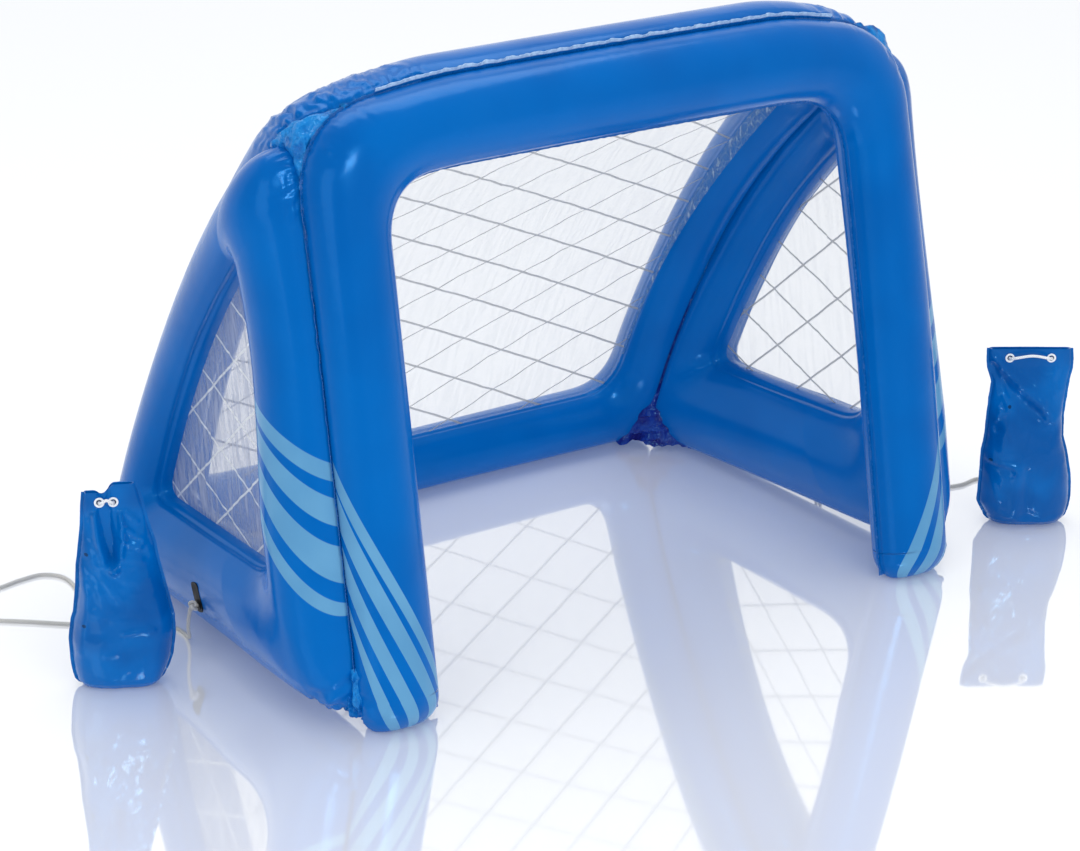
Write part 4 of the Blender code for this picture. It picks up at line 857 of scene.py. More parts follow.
END_RINGS = (0.08, 0.5, 0.8, 0.94)      # shares of a leg's last section, inwards to outwards, that close its end
SKINS = {}
for side, node, panel, seed, finish in (
    ("front", "front_frame", FrontPanel(), 11, vinyl("front_vinyl", LEFT_LEG_STRIPES, RIGHT_LEG_STRIPES)),
    ("left", "left_side_frame", SidePanel(-1), 23, vinyl("side_vinyl", SIDE_STRIPES)),
    ("right", "right_side_frame", SidePanel(1), 37, vinyl("side_vinyl_right", SIDE_STRIPES)),
    ("back", "back_frame", BackPanel(), 41, vinyl("plain_vinyl")),
):
    rings, arc, perimeter, run = skin_sections(panel, seed)
    if not panel.closed:
        # each leg's rounded end is closed over, and both legs are measured from their own ends
        squeeze = np.minimum(perimeter / np.median(perimeter), 1.0)
        arc, perimeter = arc / squeeze, perimeter / squeeze
        low, high = ([end.mean(axis=0) + (end - end.mean(axis=0)) * share for share in END_RINGS]
                     for end in (rings[0], rings[-1]))
        rings = np.concatenate([low, rings, high[::-1]])
        more = len(END_RINGS)
        arc, perimeter, run = (np.concatenate([rows[:1]] * more + [rows] + [rows[-1:]] * more)
                               for rows in (arc, perimeter, run))
        right_half = run > run[-1] / 2
        run = np.minimum(run, run[-1] - run)
        arc[right_half] += 1.0
        perimeter[right_half] += 1.0
    rings = crumpled(rings, CRUMPLES[side], seed)
    rings = seated(rings, valve_seat(side))
    rings[..., 2] = np.maximum(rings[..., 2], 0.0)
    SKINS[side] = rings
    mesh = lattice(f"{side}_bladder", rings, panel.closed, (arc, perimeter), run)
    piece(f"{side}_bladder", mesh, finish, replaces=[node])


# Net windows: clear film printed with a diamond net, cut to each ring's hole and welded into its middle seam.
# The film is drawn tight but not flat: it ripples between the seams, and a milky margin of it lies on the back ring.
FILM_REACH = 0.955          # how far from the middle of a bar towards the hole the film's edge is welded
NET_INK = rgb(176, 178, 178)
# Families of printed lines in a window's flat coordinates: the way across them, first line, step, width
SIDE_NET = {
    "left": ((-0.556, 0.831, 0.0410, 0.0909, 0.0042), (0.5045, 0.8634, 0.3363, 0.0920, 0.0042)),
    "right": ((-0.556, 0.831, 0.0495, 0.0909, 0.0040), (0.5045, 0.8634, 0.3126, 0.0907, 0.0040)),
}
BACK_NET = ((-0.470, 0.883, 0.2082, 0.0840, 0.0045), (0.462, 0.887, 0.3034, 0.0925, 0.0030))


def net_film(name, families, haze, streaks, slant, tint=rgb(200, 208, 218), ink_colour=NET_INK):
    """Clear film with printed net lines: faint haze, long wrinkles with streaks of painted sheen, near-opaque ink."""
    film = Finish(name, Roughness=0.16, IOR=1.45, Specular_IOR_Level=0.6)
    uv = film.add("UVMap", uv_map="film")
    across, up, _ = film.split(uv)
    ink = None
    wander = film.math("MULTIPLY", film.math("SUBTRACT", film.noise(uv, 14.0, 2.0), 0.5), 0.0035)
    for aim_x, aim_y, first, step, wide in families:
        place = film.math("MULTIPLY_ADD", across, aim_x, film.math("MULTIPLY_ADD", up, aim_y, -first))
        place = film.math("ADD", place, wander)
        beside = film.math("MULTIPLY", film.math("PINGPONG", film.math("DIVIDE", place, step), 0.5), step)
        line = film.ramp(beside, wide * 0.62, wide * 0.38)
        ink = line if ink is None else film.math("MAXIMUM", ink, line)
    leaning = film.add("Mapping", {"Vector": uv, "Rotation": (0.0, 0.0, slant), "Scale": (1.0, 0.09, 1.0)})
    wrinkle = film.ramp(film.noise(leaning, 95.0, 4.0, 0.62), 0.42, 0.66)
    crease = film.ramp(film.noise(uv, 30.0, 5.0, 0.7), 0.52, 0.70)
    # the wrinkles' and creases' milkier streaks are painted sheen
    painted_sheen = film.math("MAXIMUM", film.math("MULTIPLY", wrinkle, streaks), film.math("MULTIPLY", crease, streaks * 0.35))
    clear = film.math("ADD", film.math("MULTIPLY", painted_sheen, 0.45), haze)
    film.set(film.shader, {
        "Base Color": film.mix(ink, tint, ink_colour),
        "Alpha": film.math("MAXIMUM", clear, film.math("MULTIPLY", ink, 0.86)),
        "Normal": film.bump(wrinkle, 0.0016, 0.6, film.bump(film.noise(uv, 22.0, 4.0), 0.004, 0.5)),
    })
    return film.material


def cut_film(name, node, panel, spacing, ripple, finish):
    """One window: a sheet cut to the hole, in its flat coordinates, then rippled and laid into the bent panel."""
    outer, inner = panel.outlines()
    edge = (outer + inner) / 2 - (outer - inner) / 2 * FILM_REACH
    ring = np.vstack([edge, edge[:1]])
    edge = along(ring, np.arange(0, lengths(ring)[-1], spacing * 0.8))
    low, high = edge.min(axis=0), edge.max(axis=0)
    columns, rows = (np.arange(low[k], high[k], spacing) for k in (0, 1))
    grid = np.stack(np.meshgrid(columns, rows), -1).reshape(-1, 2)
    grid = grid[np.min(np.linalg.norm(grid[:, None] - edge[None, ::2], axis=2), axis=1) > spacing * 0.6]
    flat = [Vector(p) for p in edge] + [Vector(p) for p in grid]
    loop = [(i, (i + 1) % len(edge)) for i in range(len(edge))]
    points, _, faces, *_ = delaunay_2d_cdt(flat, loop, [list(range(len(edge)))], 1, 1e-7)
    uv = np.array([[p.x, p.y] for p in points])
    rim_near = np.min(np.linalg.norm(uv[:, None] - edge[None, ::2], axis=2), axis=1)
    n = np.full(len(uv), panel.lift) + ripple(uv) * ease(rim_near, 0.0, 0.05)
    placed = settle(panel.place(uv[:, 0], uv[:, 1], n))
    mesh = bpy.data.meshes.new(name)
    mesh.from_pydata(placed.tolist(), [], [tuple(f) for f in faces])
    corners = np.array([i for f in mesh.polygons for i in f.vertices])
    mesh.uv_layers.new(name="film").uv.foreach_set("vector", uv[corners].astype(np.float32).ravel())
    mesh.shade_smooth()
    bm = bmesh.new()
    bm.from_mesh(mesh)
    bmesh.ops.recalc_face_normals(bm, faces=bm.faces)
    bm.to_mesh(mesh)
    bm.free()
    obj = piece(name, mesh, finish, replaces=[node])
    ring = np.vstack([edge, edge[:1]])


def side_ripple(seed):
    """A side film's ripples: narrow ones that run up it, over wide shallow ones."""
    def ripple(uv):
        lean = np.column_stack([uv[:, 0] + 0.12 * uv[:, 1], 0.10 * uv[:, 1]])
        return 0.0022 * crumple(lean, seed, 0.018, 7) + 0.0016 * crumple(uv, seed + 1, 0.09, 6)
    return ripple


def back_ripple(uv):
    """The back film's ripples, longer across it than down it."""
    return 0.0020 * crumple(uv * np.array([0.5, 1.0]), 71, 0.055, 7) + 0.0008 * crumple(uv, 72, 0.02, 6)


# the left film catches the light: its greater haze than the others, its tint and its paler ink are painted light
cut_film("left_film", "left_window", SidePanel(-1), 0.005, side_ripple(61),
         net_film("left_net_film", SIDE_NET["left"], haze=0.46, streaks=0.75, slant=0.14,
                  tint=rgb(158, 168, 196), ink_colour=rgb(214, 219, 226)))
cut_film("right_film", "right_window", SidePanel(1), 0.006, side_ripple(63),
         net_film("right_net_film", SIDE_NET["right"], haze=0.24, streaks=0.14, slant=0.2))
cut_film("back_film", "back_window", BackPanel(), 0.008, back_ripple,
         net_film("back_net_film", BACK_NET, haze=0.26, streaks=0.16, slant=1.3))

MARGIN_TOP, MARGIN_FOOT = 0.030, 0.004      # how far the margin reaches onto the bar at its top and at its foot


def margin_finish():
    """The margin's film over blue vinyl: milky, glossy and creased all over."""
    film = Finish("film_margin", Roughness=0.14, IOR=1.5)
    place = film.add("TexCoord", out=3)
    facets = film.add("TexVoronoi", {"Vector": film.stretched(place, (1.0, 1.0, 0.7)), "Scale": 75.0},
                      feature="DISTANCE_TO_EDGE")
    fold = film.math("MULTIPLY", film.ramp(facets, 0.05, 0.0), 0.55)
    long_folds = film.ramp(film.noise(film.stretched(place, (1.0, 1.0, 0.4)), 110.0, 5.0, 0.7), 0.50, 0.68)
    milk = film.math("MAXIMUM", fold, long_folds)
    film.set(film.shader, {"Base Color": film.mix(milk, rgb(112, 160, 208), rgb(206, 222, 240)),
                           "Alpha": film.math("MULTIPLY_ADD", milk, 0.30, 0.34),
                           "Normal": film.bump(milk, 0.002, 0.8)})
    return film.material


bm = bmesh.new()
rows = []
bar = [r for r in SKINS["back"] if r[0, 0] > 0.40 and 0.15 < r[:, 2].mean() < 0.90]
bar = sorted(bar, key=lambda r: r[:, 2].mean())
for index, ring in enumerate(bar):
    share = index / (len(bar) - 1)
    inside = ring[SECTION_POINTS // 2:SECTION_POINTS // 2 + 30]
    wide = MARGIN_FOOT + (MARGIN_TOP - MARGIN_FOOT) * ease(share, 0.0, 0.9)
    outward = inside - ring.mean(axis=0)
    outward /= np.linalg.norm(outward, axis=1)[:, None]
    reached = np.linspace(0.0, wide, 13) + 0.002
    line = along(inside, reached)
    away = np.column_stack([np.interp(reached, lengths(inside), outward[:, k]) for k in range(3)])
    lift = 0.0012 + 0.0022 * np.abs(crumple(line, 83, 0.022, 7)) * np.sin(np.linspace(0.25, math.pi - 0.25, 13))
    rows.append([bm.verts.new(p) for p in line + away * lift[:, None]])
for near, far in zip(rows, rows[1:]):
    strip(bm, near, far, ring=False)
margin = piece("back_film_margin", closed(bm, "margin"), margin_finish())


# Weld flanges: where two chambers meet, their margins are heat-sealed into one crimped flange that stands out of the
# groove as a wavy lip, its edge painted lighter as highlight and darker as shade in the rear grooves. The mouth's own
# seam shows as a narrower lip round the opening.
LIP_IN = 0.012              # how deep a lip goes into its groove
LIP_THICK = 0.0007
LIP_END = 0.004             # how far it stops short of a corner's rounding
# How far each lip stands out
TOP_LIP, FRONT_LIP, REAR_LIP, MOUTH_LIP, CORNER_LIP = 0.0110, 0.00375, 0.0030, 0.0040, 0.0045


def crimped(name, pale):
    """Heat-sealed vinyl: crimp marks across the seal, and a milky edge where the sheets are pressed thin, tinted by
    each copy's edge colour: painted highlight where that colour is pale, painted shade where it is dark.
    """
    seal = Finish(name, IOR=1.5, Specular_IOR_Level=0.5)
    depth, run, _ = seal.split(seal.add("UVMap", uv_map="lip"))
    crimp = seal.math("PINGPONG", seal.math("MULTIPLY", run, 420.0), 0.5)
    marks = seal.math("MULTIPLY", crimp, seal.ramp(depth, 0.0030, 0.0010))
    place = seal.add("TexCoord", out=3)
    wear = seal.noise(place, 130.0, 3.0)
    edge = seal.ramp(depth, 0.0038, 0.0062)
    # each copy's edge colour is painted light: lighter as a highlight, darker as shade
    milky_edge_and_painted_light = seal.math("MULTIPLY", edge, seal.ramp(wear, 0.15, 0.75, 0.55, 1.0))
    seal.set(seal.shader, {"Base Color": seal.mix(milky_edge_and_painted_light, BLUE, pale),
                           "Roughness": seal.ramp(wear, 0.3, 0.7, 0.16, 0.34),
                           "Normal": seal.bump(marks, 0.0006, 0.7, seal.bump(wear, 0.0010, 0.4))})
    return seal.material


def ripples(run, seed, pitch):
    """A slow random wave along a run, of about -1 to 1."""
    rng = np.random.default_rng(seed)
    return sum(rng.uniform(0.5, 1.0) * np.sin(run * 2 * math.pi / pitch * rng.uniform(0.45, 1.7) + rng.uniform(0, 6.3))
               for _ in range(5)) / 2.2


def unit_rows(vectors):
    """Each row at a length of one."""
    return vectors / np.linalg.norm(vectors, axis=1)[:, None]


def lip(name, line, inward, across, out, seed, finish, replaces=()):
    """A thin flange along a weld line: deep in the groove it is straight, at its free edge it waves."""
    run = lengths(line)
    depths = np.concatenate([[-LIP_IN], np.linspace(-0.003, out, 7)])
    sway = ripples(run, seed, 0.060)[:, None] * np.clip(depths, 0, None)[None] * 0.20
    sway += ripples(run, seed + 1, 0.022)[:, None] * np.clip(depths, 0, None)[None] ** 2 * 9
    nip = ripples(run, seed + 2, 0.02)[:, None] * 0.0004 * (depths > out * 0.8)
    bm = bmesh.new()
    uv = bm.loops.layers.uv.new("lip")
    rows = []
    for i in range(len(line)):
        walls = []
        for sign in (-1, 1):
            spots = line[i] - (depths + nip[i])[:, None] * inward[i]
            spots = spots + (sway[i] + sign * LIP_THICK / 2)[:, None] * across[i]
            walls.append([bm.verts.new(p) for p in settle(spots)])
        rows.append(walls[0] + walls[1][::-1])
    there = np.concatenate([depths, depths[::-1]])
    for i in range(len(rows) - 1):
        for k, face in enumerate(strip(bm, rows[i], rows[i + 1])):
            m = (k + 1) % len(there)
            for loop, (a, b) in zip(face.loops, ((k, i), (m, i), (m, i + 1), (k, i + 1))):
                loop[uv].uv = (there[a], run[b])
    bm.faces.new(rows[0])
    bm.faces.new(rows[-1])
    return piece(name, closed(bm, name), finish, replaces=replaces)


def on_front(flat):
    """Flat front coordinates, or directions, on the leaning plane."""
    return np.column_stack([flat[:, 0], flat[:, 1] * LEAN_SIN, flat[:, 1] * LEAN_COS])


# the lips' edge colours: slightly lighter on the front welds and pale on the top weld as painted highlight, dark on the
# rear welds as painted shade
crimped_vinyl = crimped("crimped_vinyl", rgb(30, 104, 176))
shaded_crimp = crimped("shaded_crimped_vinyl", rgb(8, 52, 124))
pale_crimped_vinyl = crimped("pale_crimped_vinyl", rgb(186, 214, 240))
reach = FRONT_WIDTH / 2 - TOP_CORNER - LIP_END
x = np.linspace(-reach, reach, 420)
down = np.array([0.0, -LEAN_SIN, -LEAN_COS])
fall = np.array([0.0, math.cos(REAR_TOP_FALL), -math.sin(REAR_TOP_FALL)])
line = FrontPanel().place(x, np.full_like(x, FRONT_HEIGHT), np.zeros_like(x))
lip("top_flange", line, unit_rows(np.tile(down + fall, (420, 1))), unit_rows(np.tile(down - fall, (420, 1))),
    TOP_LIP, 5, pale_crimped_vinyl, ["top_weld"])
for number, (name, side) in enumerate((("left", -1), ("right", 1))):
    panel, toward = SidePanel(side), np.array([-side, 0.0, 0.0])
    h = np.linspace(FRONT_FOOT_CORNER, FRONT_HEIGHT - TOP_CORNER - LIP_END, 300)
    line = panel.place(np.zeros_like(h), h, np.zeros_like(h))
    lip(f"front_{name}_flange", line, unit_rows(np.tile(toward + panel.back, (300, 1))),
        unit_rows(np.tile(toward - panel.back, (300, 1))), FRONT_LIP, 15 + number, crimped_vinyl,
        [f"front_{name}_weld"])
    s = np.linspace(REAR_TOP_CORNER + LIP_END, REAR_LENGTH - REAR_FOOT_CORNER - LIP_END, 380)
    (y, z), (y0, z0), (y1, z1) = rear_at(s), rear_at(s - 0.01), rear_at(s + 0.01)
    square = unit_rows(np.column_stack([0 * s, z1 - z0, y0 - y1]))
    line = np.column_stack([side * weld_half_width(y, z), y, z])
    lip(f"rear_{name}_flange", line, unit_rows(toward + square), unit_rows(toward - square), REAR_LIP, 25 + number,
        shaded_crimp, [f"rear_{name}_weld"])

# the front frame's own seam: a lip round the mouth, and one outside each top corner
outer, inner = FrontPanel().outlines()
mouth = inner[3:-3]
inward = unit_rows(outer[3:-3] - mouth)
# its pale edge on the mouth and the top corners is a painted highlight
mouth_crimp = crimped("mouth_crimp", rgb(120, 165, 215))
forwards = np.array([0.0, -LEAN_COS, LEAN_SIN])
lip("mouth_lip", on_front(mouth), on_front(inward), np.tile(forwards, (len(mouth), 1)), MOUTH_LIP, 33, mouth_crimp)
for name, side in (("left", -1), ("right", 1)):
    near = (outer[:, 0] * side > FRONT_WIDTH / 2 - 0.24) & (outer[:, 1] > FRONT_HEIGHT - 0.30)
    edge = outer[near]
    steps = np.gradient(edge, axis=0)
    outward = unit_rows(np.column_stack([steps[:, 1], -steps[:, 0]]))
    outward *= np.sign(np.sum(outward * (edge - np.array([0.0, FRONT_HEIGHT / 2])), axis=1))[:, None]
    lip(f"front_{name}_corner_lip", on_front(edge), -on_front(outward), np.tile(forwards, (len(edge), 1)),
        CORNER_LIP, 51, mouth_crimp)


# Corner gussets: patches of thinner vinyl that close the gaps where the chambers' corners are rounded off. They have
# more cloth than the gap needs, so they lie in sharp crumples.
def gusset_vinyl(name, low, high):
    """Thin vinyl in crumples: facets between its creases, each painted from dark to light blue as painted light and
    shade, with a faint painted glow.
    """
    # the emission in the dark blue is a painted glow
    film = Finish(name, IOR=1.5, Specular_IOR_Level=0.55, Specular_Tint=(0.3, 0.7, 1.0, 1.0), Coat_Weight=0.08,
                  Emission_Color=tuple(low), Emission_Strength=0.3)
    place = film.add("TexCoord", out=3)
    drift = film.add("TexNoise", {"Vector": place, "Scale": 30.0, "Detail": 3.0}, out=1)
    pushed = film.add("VectorMath", {0: drift, 3: 0.05}, operation="SCALE")
    bent = film.add("VectorMath", {0: place, 1: pushed}, operation="ADD")
    facets = film.add("TexVoronoi", {"Vector": bent, "Scale": 34.0}, feature="F1")
    creases = film.noise(film.stretched(place, (1.0, 1.0, 0.5)), 42.0, 3.0, 0.5)
    # the facets' dark to light blue is painted light and shade across the crumples
    film.set(film.shader, {"Base Color": film.mix(film.ramp(facets, 0.15, 0.75), low, high),
                           "Roughness": film.ramp(creases, 0.3, 0.7, 0.14, 0.30),
                           "Normal": film.bump(facets, 0.012, 0.8, film.bump(creases, 0.006, 0.8))})
    return film.material


def web(name, spots, finish, replaces):
    """A crumpled patch from a grid of points."""
    bm = bmesh.new()
    rows = [[bm.verts.new(p) for p in row] for row in spots]
    for near, far in zip(rows, rows[1:]):
        strip(bm, near, far, ring=False)
    piece(name, closed(bm, name), finish, replaces=replaces)


# these two blues are the crumples' painted shade and painted light
crumpled_vinyl = gusset_vinyl("gusset_vinyl", rgb(0, 70, 144), rgb(24, 122, 192))
for node, depth, size in (("top_left_gusset", 0.0140, 0.034), ("top_right_gusset", 0.0065, 0.042)):
    bm = bmesh.new()
    bm.from_mesh(frame["nodes"][node].data)
    bmesh.ops.remove_doubles(bm, verts=bm.verts, dist=0.00002)
    for _ in range(3):
        wide = [e for e in bm.edges if e.calc_length() > 0.006]
        if wide:
            bmesh.ops.subdivide_edges(bm, edges=wide, cuts=1, use_grid_fill=True)
            bmesh.ops.triangulate(bm, faces=bm.faces[:])
    spots = np.array([v.co for v in bm.verts])
    away = spots.mean(axis=0) - np.array([0.0, 0.0, 0.35])
    away /= np.linalg.norm(away)
    moved = spots - away * (depth * (0.25 + crumple(spots, 90 + len(node), size, 8)))[:, None]
    for vert, place in zip(bm.verts, moved):
        vert.co = place
    piece(node + "_film", closed(bm, node), crumpled_vinyl, replaces=[node])

# the two at the floor hang in the corner between back and side, painted dark as its shade, and run on up the groove
REAR_WEB_FLAT = (0.180, 0.330)
REAR_WEB_SPREAD = 0.104     # half its width at the floor, that it loses by 0.15 m up
REAR_WEB_GROOVE = 0.0065    # half its width in the groove above
REAR_WEB_DEEP = 0.060       # how far in from the weld line it hangs in the groove, and how much further at the floor
REAR_WEB_DEEPER = 0.061
# a darker copy of the crumpled vinyl: painted shade for the corner they hang in
shaded_vinyl = gusset_vinyl("shaded_gusset_vinyl", rgb(24, 28, 104), rgb(10, 50, 134))
for name, side in (("left", -1), ("right", 1)):
    z = np.linspace(0.003, REAR_WEB_FLAT[1], 90)
    s = np.linspace(REAR_LENGTH - 0.45, REAR_LENGTH, 400)
    y_at, z_at = rear_at(s)
    y = np.interp(z, z_at[::-1], y_at[::-1])
    corner = np.column_stack([side * weld_half_width(y, z), y, z])
    inward, sideways = np.array([-side, -1.0, 0.0]) / math.sqrt(2), np.array([side, -1.0, 0.0]) / math.sqrt(2)
    half = REAR_WEB_SPREAD * np.maximum(1 - z / 0.150, 0.0) ** 1.5 + REAR_WEB_GROOVE
    deep = REAR_WEB_DEEP + REAR_WEB_DEEPER * ease(-z, -0.165, -0.030)
    u = np.linspace(-1, 1, 52)
    spots = corner[:, None] + inward * deep[:, None, None] + sideways * (half[:, None] * u)[..., None]
    flat = np.stack([half[:, None] * u, z[:, None] + 0 * u], axis=-1)
    slack = ease(-z, -0.170, -0.100)[:, None]
    folds = 0.010 * crumple(flat, 96 + side, 0.040, 8) + 0.0016 * crumple(flat, 98 + side, 0.014, 6)
    spots -= inward * (slack * folds)[..., None]
    spots[..., 2] += ease(z, 0.03, 0.0)[:, None] * 0.010 * (0.4 + crumple(flat, 44 + side, 0.03, 5))
    spots[..., 2] = np.maximum(spots[..., 2], 0.0005)
    web(f"rear_{name}_web", [settle(row) for row in spots], shaded_vinyl, [f"rear_{name}_gusset"])
    # in front, the flange's lower end spreads into a small crumpled web between the leg's foot and the side's
    panel = SidePanel(side)
    h = np.linspace(0.003, 0.085, 30)
    t = np.linspace(-0.045, 0.050, 40)
    foot = panel.place(np.zeros_like(h), h, np.zeros_like(h))
    ways = np.where(t[:, None] > 0, panel.back * t[:, None], np.array([-side, 0.0, 0.0]) * -t[:, None])
    outward = np.array([side, -1.0, 0.0]) / math.sqrt(2)
    flat = np.stack([t + 0 * h[:, None], h[:, None] + 0 * t], axis=-1)
    spots = foot[:, None] + ways[None] + outward * (0.010 * crumple(flat, 61 + side, 0.026, 8) + 0.006)[..., None]
    spots[..., 2] += 0.006 * (1 - ease(h, 0.0, 0.03))[:, None] * crumple(flat, 65 + side, 0.02, 5)
    spots[..., 2] = np.maximum(spots[..., 2], 0.0005)
    web(f"front_{name}_web", [settle(row) for row in spots], crumpled_vinyl, [])


# Inflation valves: soft clear vinyl, one on each chamber. A welded disc holds a stem that pushes in flush, and the
# stem's rim carries a stopper cap on a living hinge. Their profiles are (radius, height) points from the skin up, or
# for the cap from its seat up.
FLANGE_PROFILE = ((0.0074, 0.0003), (0.0147, 0.0003), (0.0150, 0.0006), (0.0149, 0.0010), (0.0143, 0.0014),
                  (0.0128, 0.0015), (0.0124, 0.0012), (0.0116, 0.0012), (0.0112, 0.0015), (0.0084, 0.0015),
                  (0.0077, 0.0014), (0.0074, 0.0011))
STEM_PROFILE = ((0.0045, -0.0121), (0.0048, -0.0125), (0.0066, -0.0125), (0.0070, -0.0121), (0.0070, -0.0082),
                (0.0068, -0.0079), (0.0068, -0.0071), (0.0070, -0.0068), (0.0070, -0.0032), (0.0068, -0.0029),
                (0.0068, -0.0021), (0.0070, -0.0018), (0.0070, 0.0040), (0.0067, 0.0044), (0.0062, 0.0045),
                (0.0049, 0.0045), (0.0045, 0.0041))
CAP_PROFILE = ((0.0, 0.0018), (0.0030, 0.0018), (0.0034, 0.0016), (0.0066, 0.0016), (0.0074, 0.0014), (0.0078, 0.0010),
               (0.0078, 0.0004), (0.0075, 0.0), (0.0044, 0.0), (0.0042, -0.0004), (0.0040, -0.0016), (0.0041, -0.0022),
               (0.0038, -0.0028), (0.0033, -0.0044), (0.0030, -0.0048), (0.0018, -0.0050), (0.0, -0.0050))
# Small blocks in a valve's frame, each as its middle, size and rounding: the lug under the stem's rim that carries the
# cap's strap, the strap itself, and the cap's finger tab opposite it
STRAP_LUG = ((-0.0077, 0, 0.0036), (0.0026, 0.0034, 0.0018), 0.0004)
HINGE_STRAP = ((-0.0080, 0, 0.0055), (0.0016, 0.0042, 0.0008), 0.0003)
FINGER_TAB = ((0.0076, 0, 0.0055), (0.0012, 0.0036, 0.0008), 0.0003)


def turn(bm, profile, matrix, segments=40):
    """Adds a turned solid: a profile of (radius, height) points swept about Z, capped if it starts on the axis."""
    rings = []
    for radius, height in profile:
        if radius == 0.0:
            rings.append([bm.verts.new(matrix @ Vector((0, 0, height)))] * segments)
            continue
        angles = [2 * math.pi * k / segments for k in range(segments)]
        rings.append([bm.verts.new(matrix @ Vector((radius * math.cos(a), radius * math.sin(a), height)))
                      for a in angles])
    pairs = list(zip(rings, rings[1:]))
    if profile[0][0] > 0.0:
        pairs.append((rings[-1], rings[0]))
    for near, far in pairs:
        for k in range(segments):
            m = (k + 1) % segments
            corners = [near[k], near[m], far[m], far[k]]
            corners = [v for i, v in enumerate(corners) if v not in corners[:i]]
            bm.faces.new(corners)


def block(bm, seat, middle, size, rounding):
    """Adds a small block with rounded edges, in a valve's own frame."""
    made = bmesh.ops.create_cube(bm, size=1.0, matrix=seat @ Matrix.Translation(middle) @ Matrix.Diagonal((*size, 1.0)))
    edges = list(dict.fromkeys(edge for vert in made["verts"] for edge in vert.link_edges))
    bmesh.ops.bevel(bm, geom=edges, offset=rounding, segments=2, affect="EDGES")


def clear_moulding(name, tint):
    """Soft clear vinyl: milky, slightly see-through, with faint flow marks."""
    soft = Finish(name, IOR=1.5, Transmission_Weight=0.35, Coat_Weight=0.3)
    place = soft.add("TexCoord", out=3)
    flow = soft.noise(soft.stretched(place, (1.0, 1.0, 3.0)), 240.0, 3.0)
    soft.set(soft.shader, {"Base Color": soft.mix(flow, tint, rgb(236, 240, 244)),
                           "Roughness": soft.ramp(flow, 0.2, 0.8, 0.2, 0.4),
                           "Normal": soft.bump(flow, 0.00008, 0.4)})
    return soft.material


clear_vinyl = clear_moulding("clear_vinyl_moulding", rgb(196, 208, 222))
flange_vinyl = vinyl("flange_vinyl")
for name in ("front", "left", "right", "back"):
    seat = valve_seat(name)
    bm = bmesh.new()
    turn(bm, FLANGE_PROFILE, seat)
    piece(f"{name}_valve_disc", closed(bm, "disc"), flange_vinyl, replaces=[f"{name}_valve_flange"])
    bm = bmesh.new()
    turn(bm, STEM_PROFILE, seat)
    block(bm, seat, *STRAP_LUG)
    piece(f"{name}_valve_tube", closed(bm, "tube"), clear_vinyl, f"{name}_valve_stem", [f"{name}_valve_stem"])
    bm = bmesh.new()
    turn(bm, CAP_PROFILE, seat @ Matrix.Translation((0, 0, CAP_HEIGHT)))
    block(bm, seat, *HINGE_STRAP)
    block(bm, seat, *FINGER_TAB)
    piece(f"{name}_valve_stopper", closed(bm, "stopper"), clear_vinyl, f"{name}_valve_cap", [f"{name}_valve_cap"])


# Tether tabs: black rubber straps welded low on each side frame, each with a moulded eyelet that takes its cord.
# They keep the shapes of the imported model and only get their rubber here.
def black_rubber():
    """Dull black rubber, slightly worn."""
    rubber = Finish("tab_rubber", Specular_IOR_Level=0.2)
    place = rubber.add("TexCoord", out=3)
    grain = rubber.noise(place, 900.0, 2.0)
    wear = rubber.noise(place, 60.0, 3.0)
    rubber.set(rubber.shader, {"Base Color": rubber.mix(rubber.ramp(wear, 0.3, 0.8), rgb(7, 7, 9), rgb(18, 19, 22)),
                               "Roughness": rubber.ramp(wear, 0.3, 0.7, 0.36, 0.55),
                               "Normal": rubber.bump(grain, 0.0002, 0.5)})
    return rubber.material


tab_rubber = black_rubber()
for side in ("left", "right"):
    for node in (f"{side}_tether_tab", f"{side}_tether_eyelet"):
        frame["nodes"][node].material_slots[0].material = tab_rubber


# Anchor bags: glossy vinyl tubes, seamed down both sides and filled to weigh the goal down. The filling bulges the
# lower part, and the slack collar above it is drawn flat, or gathered, by a cord through four grommets.
BAG_HEIGHT = 0.339
BAG_WIDTH = 0.1665
BAG_THICKNESS = 0.0870
COLLAR_THICKNESS = 0.0120
GROMMET_DROP = 0.017
FOLD_RELIEF = 1.5            # how deep the folds below are drawn
SIDE_SEAM = 0.0045
EARS = {"left": (0.013, 0.006), "right": (0.0, 0.0)}    # a gathered collar's far ear stands up, and its middle dips
CRUMPLE_SEEDS = {"left": 7, "right": 17}
# Shares of the height, the width and the thickness, from the floor up
BAG_ROWS = np.array((
    (0.000, 0.80, 0.56), (0.010, 0.875, 0.68), (0.035, 0.95, 0.86), (0.075, 0.985, 0.95), (0.116, 1.00, 1.00),
    (0.261, 1.00, 0.98), (0.420, 0.97, 0.88), (0.580, 0.94, 0.70), (0.710, 0.91, 0.50), (0.826, 0.93, 0.28),
    (0.905, 0.98, 0.12), (0.955, 1.00, 0.05), (1.000, 1.00, 0.05)))
